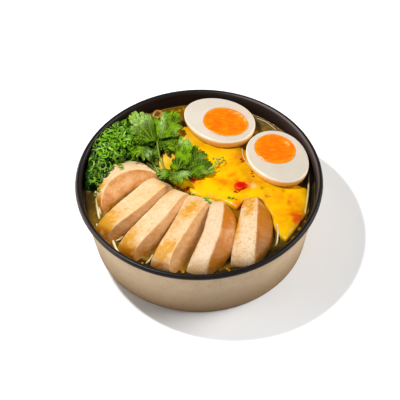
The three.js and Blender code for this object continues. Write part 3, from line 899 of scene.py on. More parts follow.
def make_noodles():
    """The strands: those that show, a fried curl, the fringe beside an egg, and the sunk ones."""
    chance = random.Random(5)
    shown = [(points, NOODLE_RADIUS * thickness, 0.0) for thickness, points in SHOWN_NOODLES]
    shown += [(FRIED_CURL, 0.95, 1.0), (EGG_FRINGE, 0.55, 0.3)]
    strands = []
    fried = []
    for points, radius, share in shown:
        strands.append(tube(smooth_path(points, 6), radius, 8))
        fried.append(np.full(len(strands[-1][0]), share))
    for _ in range(SUNK_NOODLES):
        strands.append(tube(wandering_strand(chance), NOODLE_RADIUS, 6))
        fried.append(np.zeros(len(strands[-1][0])))
    piece = joined(strands)
    mark(piece, "fried", np.concatenate(fried))
    smooth(piece, 80)
    dress(piece, "noodle_strands", "noodle", NOODLE, "noodles")


CORE_RADIUS = 64
CORE_MIDDLE = 22
CORE_RISE = 9


def make_noodle_core():
    """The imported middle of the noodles, a low lump under the strands."""
    def place(down, turn):
        angle = 2 * np.pi * turn
        slope = np.pi * (down - 0.5)
        ring = np.sign(np.cos(slope)) * np.abs(np.cos(slope)) ** 0.5
        x = CORE_RADIUS * ring * np.cos(angle)
        y = CORE_RADIUS * ring * np.sin(angle)
        z = CORE_MIDDLE + CORE_RISE * np.sin(slope)
        swirl = np.sin(13 * angle + 9 * np.sin(3 * angle) + 0.6 * np.hypot(x, y))
        return np.stack([x, y, z + 0.7 * swirl], axis=1)
    piece = skin(48, 144, place)
    mark(piece, "fried", np.zeros(len(piece.data.vertices)))
    smooth(piece, 80)
    dress(piece, "noodle_core", "noodle", NOODLE)


# ---- Melted cheese ----
# Browned, oily, pale and charred places, as (x, y, size along x, size along y, strength). The pale places are
# a fleck beside the chili and, near the leaves, painted light that lifts their shadow off the cheese.
CHEESE_BROWNED = [
    (40, 14, 9, 7, 0.45), (33, 27, 6, 5, 0.5), (26, 22, 7, 3, 0.35), (20, 4, 8, 5, 0.75),
    (13, 6, 4, 3, 0.4), (25, 11, 4, 3, 0.6), (18, 17, 4, 3, 0.5), (52, -14, 9, 6, 0.35),
    (66, -12, 9, 8, 0.5), (70, -24, 7, 9, 0.55), (60, -28, 6, 6, 0.4), (30, -14, 7, 4, 0.5),
    (62, -37, 6, 5, 0.5), (4, 18, 4, 3, 0.4), (48, 2, 7, 3, 0.4), (-31, 40, 4, 3, 0.6), (8, -11, 6, 2.5, 0.4),
    (44, 30, 4, 6, 0.5), (30, -20, 5, 4, 0.9), (47, 22, 3, 4, 0.5), (28, 47, 7, 3, 0.4),
]
CHEESE_OILED = [
    (71.5, -31.5, 5.0, 7.5, 1.1), (-2, 6, 4.5, 6, 0.9), (30, -20, 5, 4, 0.35), (32, 0, 8.5, 6.0, 1.0),
    (30, 27, 3.5, 5, 0.4), (34, 33, 3, 4, 0.45),
]
CHEESE_PALE_AND_LIT = [(40.6, -0.4, 2.1, 2.3, 1.6), (-20, 36, 7, 7, 0.3), (-27, 27, 6, 5, 0.3), (-10, 48, 6, 4, 0.2)]
CHEESE_CHARRED = [
    (47.1, -3.4, 1.2, 1.6, 0.9), (50.4, -11.3, 1.2, 1.3, 0.9), (62.7, -6.9, 1.3, 1.8, 0.6),
    (40.5, 14.6, 1.6, 0.8, 0.6), (37.1, 23.8, 1.4, 0.8, 0.5), (39.2, 19.7, 0.9, 1.6, 0.5),
    (15.5, -3.5, 1.0, 1.2, 0.5), (55.5, -6.0, 0.8, 0.8, 0.5), (66.5, -17, 1.0, 1.4, 0.5),
    (24, 26, 1.2, 0.7, 0.4), (30, 37, 5, 4, 0.6), (34.5, 35, 3, 5, 0.5),
]
# Stretches of the cheese's edge that are pushed along X (0) or Y (1), in turn: (axis, how far, middle and
# reach of the stretch along the other axis, where the push begins, where it is full).
CHEESE_PUSHES = [
    (1, -4.0, 28, 5, -12, -20), (0, -4.5, 27, 9, -14, -22), (0, -5.0, 56, 8, -4, -10),
    (0, -5.0, -7, 17, 64, 80),
]
CHEESE_TOP = 44.6  # only what lies above this height ripples


def make_cheese():
    """A thick poured sheet that clings to whatever it touches."""
    piece = even_copy("cheese", 0.9, 6)
    points = points_of(piece) + 0.4 * normals_of(piece)
    for axis, distance, middle, reach, start, full in CHEESE_PUSHES:
        share = np.exp(-(((points[:, 1 - axis] - middle) / reach) ** 2))
        share *= np.clip((points[:, axis] - start) / (full - start), 0, 1)
        points[:, axis] += distance * share
    flat = points * [1, 1, 0]
    wave = 0.5 * lumps(flat, 9.0, 1) + 0.28 * lumps(flat, 4.2, 2)
    points[:, 2] += wave * np.clip(points[:, 2] - CHEESE_TOP, 0, 1)
    move_points(piece, points)
    mottle = np.clip(1 + 0.9 * lumps(points, 3.2, 50), 0.5, 2)
    mark(piece, "browned", np.clip(spots(points, CHEESE_BROWNED) * mottle, 0, 1))
    mark(piece, "oiled", np.clip(spots(points, CHEESE_OILED) * mottle, 0, 1))
    # Partly a pale fleck, partly painted light over the leaves' shadow.
    mark(piece, "pale", np.clip(spots(points, CHEESE_PALE_AND_LIT), 0, 1))
    mark(piece, "charred", np.clip(spots(points, CHEESE_CHARRED), 0, 1))
    smooth(piece, 80)
    dress(piece, "cheese_melted", "cheese", CHEESE, "cheese")


# ---- Egg halves ----
# turn is how far each is turned from lying along X, blunt how much wider the end at +X is, and shift where a
# yolk's middle lies from its white's.
EGGS = [
    {"letter": "a", "centre": (17.0, 61.0), "turn": -30, "length": 58.5, "width": 44.3, "blunt": 0.07,
     "yolk": {"shift": (4.9, -3.4), "turn": -26, "length": 36.0, "width": 29.2}},
    {"letter": "b", "centre": (60.6, 21.1), "turn": -60, "length": 55.8, "width": 43.6, "blunt": -0.08,
     "yolk": {"shift": (-2.1, 7.2), "turn": -37, "length": 32.8, "width": 28.6}},
]
EGG_DEPTH_SHARE = 0.94  # how deep a half is, over half its width
YOLK_DEPTH_SHARE = 0.85
YOLK_DOME = 0.7  # how far a yolk stands proud of the cut


def oval(size, angle):
    """A point on an egg's outline, about the egg's own centre, and how blunt the egg is there."""
    x, y = np.cos(angle), np.sin(angle)
    swell = 1 + size.get("blunt", 0.0) * x
    cos, sin = math.cos(math.radians(size["turn"])), math.sin(math.radians(size["turn"]))
    a, b = size["length"] / 2 * x, size["width"] / 2 * y * swell
    return np.stack([a * cos - b * sin, a * sin + b * cos], axis=1), swell


def yolk_outline(egg, angle):
    """A point on the yolk's slightly wavy outline, about the yolk's own centre."""
    wobble = 1 + 0.010 * np.sin(3 * angle + 1) + 0.007 * np.sin(5 * angle + egg["turn"])
    edge, _ = oval(egg["yolk"], angle)
    return edge * wobble[:, None]


def make_egg_white(egg):
    """The half white: the yolk's hollow, the cut face with its rounded rim, and the skin below."""
    hollow, face, rim = 0.22, 0.5, 0.6  # where each stretch ends
    rim_size = 1.5
    shift = np.array(egg["yolk"]["shift"])
    yolk_depth = egg["yolk"]["width"] / 2 * YOLK_DEPTH_SHARE

    def place(down, turn):
        angle = 2 * np.pi * turn
        edge, swell = oval(egg, angle)
        yolk = yolk_outline(egg, angle)
        depth = egg["width"] / 2 * EGG_DEPTH_SHARE * swell
        inset = 1 - rim_size / np.linalg.norm(edge, axis=1)

        slope = np.clip(down / hollow, 0, 1) * np.pi / 2
        in_hollow = shift + yolk * np.sin(slope)[:, None]
        hollow_z = -yolk_depth * np.cos(slope)

        share = np.clip((down - hollow) / (face - hollow), 0, 1)
        on_face = (shift + yolk) * (1 - share[:, None]) + edge * (inset * share)[:, None]
        face_z = 0.12 * np.exp(-(((share - 0.06) / 0.05) ** 2))

        bend = np.clip((down - face) / (rim - face), 0, 1) * np.pi / 2
        on_rim = edge * (inset + (1 - inset) * np.sin(bend))[:, None]
        rim_z = -rim_size * (1 - np.cos(bend))

        fall = np.clip((down - rim) / (1 - rim), 0, 1) * np.pi / 2
        on_skin = edge * np.cos(fall)[:, None]
        skin_z = -rim_size - (depth - rim_size) * np.sin(fall)

        zones = [down <= hollow, down <= face, down <= rim]
        flat = np.select([zone[:, None] for zone in zones], [in_hollow, on_face, on_rim], on_skin)
        height = np.select(zones, [hollow_z, face_z, rim_z], skin_z)
        centre = np.array(egg["centre"])
        return np.column_stack([flat + centre, EGG_FACE_LEVEL + height])

    piece = skin(80, 144, place)
    points = points_of(piece)
    below = EGG_FACE_LEVEL - points[:, 2]
    flat = points[:, :2] - egg["centre"]
    angle = np.arctan2(flat[:, 1], flat[:, 0])
    outside = np.linalg.norm(flat - shift, axis=1) - egg["yolk"]["length"] / 2
    # Painted highlight on the rounded rim of the cut.
    mark(piece, "rim", np.clip(below / 0.9, 0, 1) * (outside > 0))
    # Partly the egg's tan skin, partly a painted glow of light thrown up by the cheese.
    mark(piece, "skin", np.clip((below - 0.6) / 3.0, 0, 1) ** 0.7 * (outside > 0))
    near_yolk = np.exp(-np.abs(outside) / 2.5)
    mark(piece, "halo", 0.5 * near_yolk * (0.6 + 0.4 * np.sin(2 * angle + 1)) * np.exp(-np.abs(below)))
    smooth(piece, 50)
    dress(piece, f"egg_{egg['letter']}_white", "egg_white", EGG_WHITE, f"egg_white_{egg['letter']}")


# Painted highlights: pale glints and streaks that lie on the yolks.
YOLK_GLINTS = [
    (31.0, 66.2, 2.2, 0.9, 0.6), (34.4, 63.0, 1.5, 1.5, 0.6), (37.0, 59.4, 1.0, 2.2, 0.7),
    (26.0, 42.2, 5.0, 0.8, 0.6), (67.6, 34.0, 1.3, 1.4, 0.6), (69.0, 31.6, 0.7, 1.6, 0.5),
    (25.6, 69.0, 1.0, 0.6, 0.5),
]
YOLK_GAP = 0.06  # between the yolk's underside and the hollow of the white


def make_egg_yolk(egg):
    """The set yolk: it fills its hollow and stands a little proud of the cut."""
    depth = egg["yolk"]["width"] / 2 * YOLK_DEPTH_SHARE - YOLK_GAP
    hollow = 0.5

    def place(down, turn):
        angle = 2 * np.pi * turn
        edge = yolk_outline(egg, angle) * 0.997
        slope = np.clip(down / hollow, 0, 1) * np.pi / 2
        share = np.where(down < hollow, np.sin(slope), 1 - np.clip((down - hollow) / (1 - hollow), 0, 1))
        dome = YOLK_DOME * (1 - share ** 7) ** 0.6
        height = np.where(down < hollow, -depth * np.cos(slope), dome)
        centre = np.array(egg["centre"]) + egg["yolk"]["shift"]
        return np.column_stack([edge * share[:, None] + centre, EGG_FACE_LEVEL + height])

    piece = skin(60, 120, place)
    points = points_of(piece)
    top = np.clip((points[:, 2] - EGG_FACE_LEVEL) / YOLK_DOME, 0, 1)
    points[:, 2] += top * (0.3 * lumps(points, 7.0, 6) + 0.16 * lumps(points, 2.6, 7))
    move_points(piece, points)
    # Painted highlights on the yolk.
    mark(piece, "pale", np.clip(spots(points, YOLK_GLINTS), 0, 0.8))
    mark(piece, "margin", np.clip(1.25 - 1.3 * top + 0.4 * lumps(points, 4.0, 8), 0, 1) * 0.9)
    smooth(piece, 70)
    dress(piece, f"egg_{egg['letter']}_yolk", "egg_yolk", EGG_YOLK, f"egg_yolk_{egg['letter']}")


# ---- Chicken slices ----
# Sizes of a slice:
#   ridge   the middle of its upper right edge, as (x, y)
#   turn    the way its length runs, in degrees from +X
#   lean    how far its top tips to the left, in degrees
#   rise    the height of its dome
#   taper   how much thicker the far end is
#   bow     how far the middle is pushed to the left
#   puff    how much thicker the middle is
#   wedge   how much thicker it gets with depth
#   bulge   how far the right side swells
#   edge    how round its long edges are
# Looks of a slice, from 0 to 1:
#   crust   how brown the near end is
#   pale    how pale the top is
#   soaked  how dark the right side is painted lower down and nearer: painted shade and reflection of the broth
#   specked how strongly small specks show
#   golden  places on the top, as (place along, place across, size along, size across, strength)
#   browned places on the right side, the same with height above the ridge for the place across
SLICES = [
    {"ridge": (-53.8, -0.6), "turn": 35.4, "length": 54.5, "thick": 7.2, "lean": 14, "rise": 14.9,
     "taper": 0.6, "bow": 11.8, "puff": 6.8, "wedge": 0.5, "bulge": 6, "edge": 1.4,
     "crust": 0.9, "pale": 0.3, "soaked": 0.1, "specked": 0.2,
     "golden": [(-8, -23, 9, 2.5, 0.9), (-18, -12, 7, 3, 0.95), (-26, -3, 6, 5, 1.0),
                (14, -24, 10, 2.5, 0.5)],
     # The broad last browned place covers the whole right side and is painted shade.
     "browned": [(-23, -9, 8, 5, 0.6), (-6, -15, 18, 2.5, 0.6), (0, -6, 40, 30, 0.55)]},
    {"ridge": (-47.4, -20.0), "turn": 45.5, "length": 68.0, "thick": 13.0, "lean": 14, "rise": 13.9,
     "taper": 0.1, "bow": -7.8, "puff": 5.1, "wedge": 0.25, "bulge": 0, "edge": 1.2,
     "crust": 1.0, "pale": 0.15, "soaked": 0.1, "specked": 0.3,
     "golden": [(-28, -4, 5, 10, 1.0), (-20, -6, 7, 9, 0.7), (-9.7, 0.3, 1.6, 1.1, 0.9), (27, 2, 5, 5, 0.35)],
     "browned": [(-29, -9, 7, 6, 0.6), (0, -12, 26, 2.5, 0.4)]},
    {"ridge": (-32.2, -33.4), "turn": 54.6, "length": 71.5, "thick": 11.6, "lean": 14, "rise": 14.1,
     "taper": -0.16, "bow": -7.6, "puff": 4.5, "wedge": 0.32, "bulge": 0, "edge": 1.2,
     "crust": 0.9, "pale": 0.15, "soaked": 0.15, "specked": 0.3,
     "golden": [(-32, -4, 5, 9, 1.0), (-25, -7, 6, 5, 0.6), (-19, -6, 6, 5, 0.4), (-14.5, 4.6, 1.4, 1, 0.9),
                (26, -6, 7, 4, 0.3)],
     "browned": [(-10, -12, 24, 3, 0.6), (-30, -10, 6, 5, 0.4)]},
    {"ridge": (-10.4, -43.9), "turn": 61.6, "length": 72.8, "thick": 15.7, "lean": 14, "rise": 13.1,
     "taper": 0.17, "bow": -2.6, "puff": -1.5, "wedge": 0.45, "bulge": 0, "edge": 1.2,
     "crust": 0.6, "pale": 0.1, "soaked": 0.3, "specked": 0.45,
     "golden": [(-23, -4, 4, 6, 1.0), (-30, -5, 4, 7, 0.75), (-18, -2.5, 3.5, 4, 0.85), (-26, -9, 4, 4, 0.7),
                (20, -3, 8, 6, 0.7), (13, -4, 6, 5, 0.35), (4, -9, 22, 6, 0.42)],
     "browned": [(-22, -12, 18, 2.5, 0.45)]},
    {"ridge": (7.65, -47.6), "turn": 77.2, "length": 69.0, "thick": 12.2, "lean": 13, "rise": 14.7,
     "taper": -0.21, "bow": -7.8, "puff": 1.6, "wedge": 0.1, "bulge": 9.5, "edge": 2.2,
     "crust": 0.15, "pale": 0.95, "soaked": 0.55, "specked": 0.2,
     "golden": [(31, -4, 3, 6, 0.3), (-32, -6, 4, 8, 0.3), (6, -7, 16, 1.5, 0.75), (22, -9.5, 8, 2, 0.8),
                (-14, -9, 9, 1.5, 0.6)],
     "browned": [(19, -5, 8, 6, 1.0), (7, -2, 7, 3.5, 0.7), (-13, -4, 8, 6, 0.9), (-23, -6, 8, 7, 1.1),
                 (-5, -8, 7, 4, 0.4), (10, -11, 8, 4, 0.4), (0, -5, 40, 14, 0.68)]},
    {"ridge": (38.3, -43.4), "turn": 84.9, "length": 64.1, "thick": 12.4, "lean": 10, "rise": 14.7,
     "taper": -0.34, "bow": -3.6, "puff": 3.1, "wedge": 0.1, "bulge": 8.5, "edge": 2.0,
     "crust": 0.25, "pale": 0.3, "soaked": 0.95, "specked": 0.75,
     "golden": [(24, -5, 7, 6, 0.75), (21, -6, 4, 5, 0.6), (15, -2.5, 3, 3, 0.95), (10, -4.5, 3, 3, 0.8),
                (0, -11.5, 20, 2.5, 0.85)],
     # The broad last browned place is partly the seared skin and partly painted shade over the whole right
     # side.
     "browned": [(4, -2, 6, 4, 1.0), (-6, -3, 7, 5, 0.7), (-14, -6, 10, 7, 0.8), (12, -7, 10, 5, 0.6),
                 (0, -5, 40, 14, 0.8)]},
]
SLICE_ROWS, SLICE_COLUMNS = 96, 260  # of faces from side to side, and round the outline
SLICE_DROP = 9.0  # from a slice's widest level down to its underside
SLICE_ROUNDNESS = 2.7  # power of the outline: 2 is an ellipse, more is blunter
BULGE_DEPTH = 10.0  # from the ridge down to the middle of the swelling
BULGE_REACH = 7.0


def slice_axes(size):
    """The directions along a slice, up it and across it to the right."""
    turn, lean = math.radians(size["turn"]), math.radians(size["lean"])
    along = np.array([math.cos(turn), math.sin(turn), 0.0])
    level = np.cross(along, UP)
    up = math.cos(lean) * UP - math.sin(lean) * level
    right = math.cos(lean) * level + math.sin(lean) * UP
    return along, up, right


def slice_outline(size, share_round):
    """Points evenly spaced round a slice's outline, about the middle of its widest level."""
    angle = np.linspace(0, 2 * np.pi, 1441)
    blunt = 2 / SLICE_ROUNDNESS
    x = size["length"] / 2 * np.sign(np.cos(angle)) * np.abs(np.cos(angle)) ** blunt
    height = np.where(np.sin(angle) > 0, size["rise"], SLICE_DROP)
    y = height * np.sign(np.sin(angle)) * np.abs(np.sin(angle)) ** blunt
    walked = np.concatenate([[0], np.cumsum(np.hypot(np.diff(x), np.diff(y)))])
    there = share_round * walked[-1]
    return np.interp(there, walked, x), np.interp(there, walked, y)


def mark_slice(piece, number, size, points, normals):
    """Stores how cut, seared, browned, pale and specked each point of a slice is, and its painted shade near
    the broth.
    """
    along, up, right = slice_axes(size)
    away = points - [*size["ridge"], RIDGE_LEVEL]
    length, height, width = away @ along, away @ up, away @ right
    facing = normals @ right
    cut = np.clip((facing - 0.38) / 0.3, 0, 1)  # 1 on the right side, where the knife went, and 0 on the top
    top = 1 - cut
    fine = 1 + 0.9 * lumps(points, 2.6, number + 20) + 0.4 * lumps(points, 1.3, number + 21)
    broad = 1 + 1.0 * lumps(points, 5.5, number + 30) + 0.7 * lumps(points, 1.8, number + 40)

    # The top is golden in places, along its long edges and low down.
    low = np.clip((47.5 - points[:, 2]) / 6.0, 0, 1)
    border = np.exp(-((facing - 0.1) / 0.18) ** 2) + np.exp(-((facing + 0.35) / 0.2) ** 2)
    golden = spots(np.column_stack([length, width]), size["golden"]) * fine * top
    golden += 0.28 * (0.3 + 0.7 * size["crust"]) * border * top * broad + 0.3 * low * (1 - 0.4 * cut) * broad

    # The right side is browned in places, and the near end all over, below its upper edge.
    browned = spots(np.column_stack([length, height]), size["browned"]) * np.clip(broad, 0.8, 1.5) * cut
    end = np.clip((-(normals @ along) - 0.5) / 0.2, 0, 1) * np.clip((53.5 - points[:, 2]) / 2, 0, 1) * top

    # Painted shade and reflection of the broth on the right side, lower down and nearer.
    soaked = 0.7 * np.clip((54 - points[:, 2]) / 9, 0, 1) + 0.6 * np.clip((-length - 2) / 18, 0, 1)
    soaked *= size["soaked"] * cut * (0.6 + 0.4 * broad)

    mark(piece, "browned", np.clip(browned + size["crust"] * end * broad, 0, 1))
    mark(piece, "specked", np.clip(size["specked"] + 0.5 * golden, 0, 1) * (1 - 0.6 * cut))
    mark(piece, "cut", cut)
    mark(piece, "soaked", np.clip(soaked, 0, 1))
    mark(piece, "pale", np.clip(size["pale"] * (1 + 0.8 * lumps(points, 6.0, number + 50)), 0, 1))
    mark(piece, "seared", np.clip(golden, 0, 1))
    mark(piece, "grain", np.column_stack([length, height, width]) * MM)


def make_chicken(number, size):
    """A half-moon slice: the right side, the top band across its thickness, then the left side."""
    right_side, right_edge, band, left_edge = 0.4, 0.47, 0.64, 0.71  # where each stretch ends
    edge = size["edge"]
    along, up, right = slice_axes(size)
    ridge = np.array([*size["ridge"], RIDGE_LEVEL])

    def place(down, turn):
        x, y = slice_outline(size, turn)
        inset = 1 - edge / np.hypot(x, y)
        first = np.clip((down - right_side) / (right_edge - right_side), 0, 1) * np.pi / 2
        last = np.clip((left_edge - down) / (left_edge - band), 0, 1) * np.pi / 2
        zones = [down <= right_side, down <= right_edge, down <= band, down <= left_edge]
        share = np.select(zones, [
            inset * down / right_side,
            inset + (1 - inset) * np.sin(first),
            1.0,
            inset + (1 - inset) * np.sin(last),
        ], inset * (1 - down) / (1 - left_edge))
        over = np.clip((down - right_edge) / (band - right_edge), 0, 1)
        drop = np.select(zones, [0.0, edge * (1 - np.cos(first)), edge, edge * (1 - np.cos(last))], 0.0)

        x, y = x * share, y * share - size["rise"]
        middle = 1 - (2 * x / size["length"]) ** 2
        swell = size["bulge"] * (1 - share ** 4) * (1 - (1.6 * x / size["length"]) ** 2)
        swell *= np.exp(-(((y + BULGE_DEPTH) / BULGE_REACH) ** 2))
        thick = size["thick"] * (1 + 2 * size["taper"] * x / size["length"]) + size["puff"] * middle
        right_z = -size["bow"] * middle - size["wedge"] * y + swell
        left_z = -size["bow"] * middle - thick
        z = (right_z - drop) * (1 - over) + (left_z + drop) * over
        return ridge + x[:, None] * along + y[:, None] * up + z[:, None] * right

    piece = skin(SLICE_ROWS, SLICE_COLUMNS, place)
    points = points_of(piece)
    normals = normals_of(piece)
    uneven = 0.34 * lumps(points, 8.0, number) + 0.13 * lumps(points, 2.6, number + 9)
    points += normals * uneven[:, None]
    move_points(piece, points)
    mark_slice(piece, number, size, points, normals)
    smooth(piece, 80)
    dress(piece, f"chicken_{number}", "chicken", CHICKEN, f"chicken_slice_{number}")


# ---- Scallion: cut rings, curls and shreds in a heap ----
def ribbon(path, closed, wall, tall):
    """A thin-walled band standing on its edge along a flat path: points, faces and how pale each point is."""
    path = np.asarray(path, dtype=float)
    if closed:
        ahead = np.roll(path, -1, axis=0) - np.roll(path, 1, axis=0)
    else:
        ahead = np.gradient(path, axis=0)
    out = np.column_stack([ahead[:, 1], -ahead[:, 0]])
    out /= np.linalg.norm(out, axis=1)[:, None]
    count = len(path)
    corners = [(-0.5, -0.5), (0.5, -0.5), (0.5, 0.5), (-0.5, 0.5)]
    rows = [np.column_stack([path + out * wall * a, np.full(count, tall * b)]) for a, b in corners]
    faces = []
    for i in range(count if closed else count - 1):
        k = (i + 1) % count
        for c in range(4):
            d = (c + 1) % 4
            faces.append([4 * i + c, 4 * k + c, 4 * k + d, 4 * i + d])
    if not closed:
        faces.append([0, 1, 2, 3])
        faces.append([4 * count - 1, 4 * count - 2, 4 * count - 3, 4 * count - 4])
    pale = np.tile([1.0, 0.0, 0.0, 1.0], count)
    return np.stack(rows, axis=1).reshape(-1, 3), faces, pale


KINDS = ("ring", "oval", "curl", "shred")
MIXED = (3, 3, 4, 2)  # how often each kind comes
MOSTLY_SHREDS = (0, 0, 1, 4)


def scallion_cut(chance, sizes=(1.5, 4.2), often=MIXED):
    """One cut bit: a ring, a squashed ring, an open curl or a shred, its radius within sizes."""
    kind = chance.choices(KINDS, often)[0]
    radius = chance.uniform(*sizes)
    wall = chance.uniform(0.45, 0.85)
    tall = chance.uniform(0.7, 1.8)
    if kind in ("ring", "oval"):
        squash = 1 if kind == "ring" else chance.uniform(0.35, 0.7)
        t = np.linspace(0, 2 * np.pi, 14, endpoint=False)
        pinch = 1 + 0.12 * np.cos(2 * t + chance.uniform(0, 6))
        path = np.column_stack([radius * pinch * np.cos(t), radius * squash * pinch * np.sin(t)])
        return ribbon(path, True, wall, tall)
    if kind == "curl":
        sweep = chance.uniform(1.1, 2.4) * np.pi
        t = np.linspace(0, sweep, 14)
        grow = 1 - 0.22 * t / sweep
        path = np.column_stack([radius * grow * np.cos(t), radius * grow * np.sin(t)])
    else:
        t = np.linspace(-1, 1, 10)
        bend = chance.uniform(-1, 1)
        path = np.column_stack([1.6 * radius * t, radius * bend * t ** 2 + 0.25 * radius * np.sin(3 * t)])
    points, faces, pale = ribbon(path, False, wall, tall)
    twist = chance.uniform(-0.25, 0.25)
    angle = twist * points[:, 0]
    across, tall_place = points[:, 1].copy(), points[:, 2].copy()
    points[:, 1] = across * np.cos(angle) - tall_place * np.sin(angle)
    points[:, 2] = across * np.sin(angle) + tall_place * np.cos(angle)
    return points, faces, pale


HEAP_END = 1.5  # the heap has no cuts before this place along Y
HEAP_CUTS = 440
HEAP_RADIUS = 86.5  # no cut's middle lies farther out than this
HEAP_TOP = 56.2
# Painted light and shade: the heap is painted lighter where it is lit and darker where it lies in shade.
HEAP_TONES = [(-68, 42, 15, 15, 0.45), (-80, 8, 13, 13, -0.3)]  # where the heap is lighter and darker


def make_scallion_core():
    """The inside of the heap, a little smaller than its outline, painted dark as painted shade between the
    cuts.
    """
    piece = even_copy("scallion_heap", 1.2, 4)
    points = points_of(piece)
    points += normals_of(piece) * (1.3 * lumps(points, 3.0, 12) - 1.7)[:, None]
    points[:, 2] -= 8 * np.clip((HEAP_END + 3 - points[:, 1]) / 6, 0, 1)
    move_points(piece, points)
    # Painted shade: the core is painted nearly black-green.
    mark(piece, "tone", np.clip(0.04 + 0.2 * lumps(points, 2.2, 13), 0, 1))
    mark(piece, "pale", np.zeros(len(points)))
    smooth(piece, 80)
    dress(piece, "scallion_core", "scallion", SCALLION, "scallion_heap")


# Cuts that lie away from the heap, by place: bits of the rings, and fresh shreds on the cheese.
SPILLED_BITS = [
    (-57.7, 15.3), (-59.3, 18.3), (-78.6, 4.5), (-74.5, -5.4), (-76.9, -0.4), (-80.4, 11.5), (-77.4, -7.3),
    (-31.7, 13.8), (-29.4, 11.7), (-27.1, 9.6), (-27.9, 14.6), (-29.4, 7.7), (-25.6, 7.6),
]
SPILLED_SHREDS = [
    (-4.7, -7), (-5.6, -8.4), (3.4, -14), (5.0, -14.6), (6.3, -15.1), (5.4, -18.4), (6.6, -19.4),
    (7.6, -19.8), (27.2, -13.9), (22.1, -11.8), (24.6, -12.6),
]


def heap_cuts(chance):
    """The cuts of the heap, each kept inside the wall: points, faces, tone and how pale each point is."""
    low, high = (np.array(corner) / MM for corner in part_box("scallion_heap"))
    cuts = []
    while len(cuts) < HEAP_CUTS:
        x, y = chance.uniform(low[0], high[0]), chance.uniform(low[1], high[1])
        hit = surface_at(x, y, "scallion_heap")
        if hit is None or np.hypot(x, y) > HEAP_RADIUS or y < HEAP_END:
            continue
        points, faces, pale = scallion_cut(chance)
        turn = rotation("Z", chance.uniform(0, 360))
        tip = rotation("X", chance.gauss(0, 34)) @ rotation("Y", chance.gauss(0, 34))
        placed = points @ (tip @ turn).T
        sink = chance.uniform(-0.8, 2.0)
        placed += [x, y, min(hit[1], HEAP_TOP) - sink]
        # Cuts stay inside the wall, and farther from it at the heap's near end.
        limit = 82.8 + 4.4 * np.clip((y - 12) / 18, 0, 1)
        placed[:, :2] *= np.minimum(1, limit / np.hypot(placed[:, 0], placed[:, 1]))[:, None]
        # Painted light and shade: lighter where the heap is lit, darker at its shaded end and the deeper a cut
        # is sunk.
        light = spots(np.array([[x, y]]), HEAP_TONES)[0]
        tone = np.clip(chance.gauss(0.43, 0.28) - 0.34 * sink + light, 0, 1)
        # Some cuts come from the white end and are pale all over.
        pale = np.maximum(pale * chance.uniform(0.0, 0.9), 0.75 * (chance.random() < 0.12))
        cuts.append((placed, faces, tone, pale))
    return cuts


def spilled_cuts(chance):
    """The cuts that lie away from the heap, in the same way."""
    cuts = []
    for x, y in SPILLED_BITS + SPILLED_SHREDS:
        fresh = (x, y) in SPILLED_SHREDS
        sizes, often = ((0.5, 0.9), MOSTLY_SHREDS) if fresh else ((0.9, 1.8), MIXED)
        points, faces, pale = scallion_cut(chance, sizes, often)
        turn = rotation("Y", chance.gauss(0, 14)) @ rotation("Z", chance.uniform(0, 360))
        placed = points @ turn.T + [x, y, surface_at(x, y)[1] + 0.7]
        tone = 1.0 if fresh else chance.uniform(0.3, 0.8)
        cuts.append((placed, faces, tone, pale * chance.uniform(0.2, 0.9)))
    return cuts


def make_scallions():
    """All the cuts, in one piece."""
    chance = random.Random(21)
    cuts = heap_cuts(chance) + spilled_cuts(chance)
    piece = joined([(points, faces) for points, faces, _, _ in cuts])
    mark(piece, "tone", np.concatenate([np.full(len(points), tone) for points, _, tone, _ in cuts]))
    mark(piece, "pale", np.concatenate([pale for _, _, _, pale in cuts]))
    smooth(piece, 50)
    dress(piece, "scallion_cuts", "scallion", SCALLION)


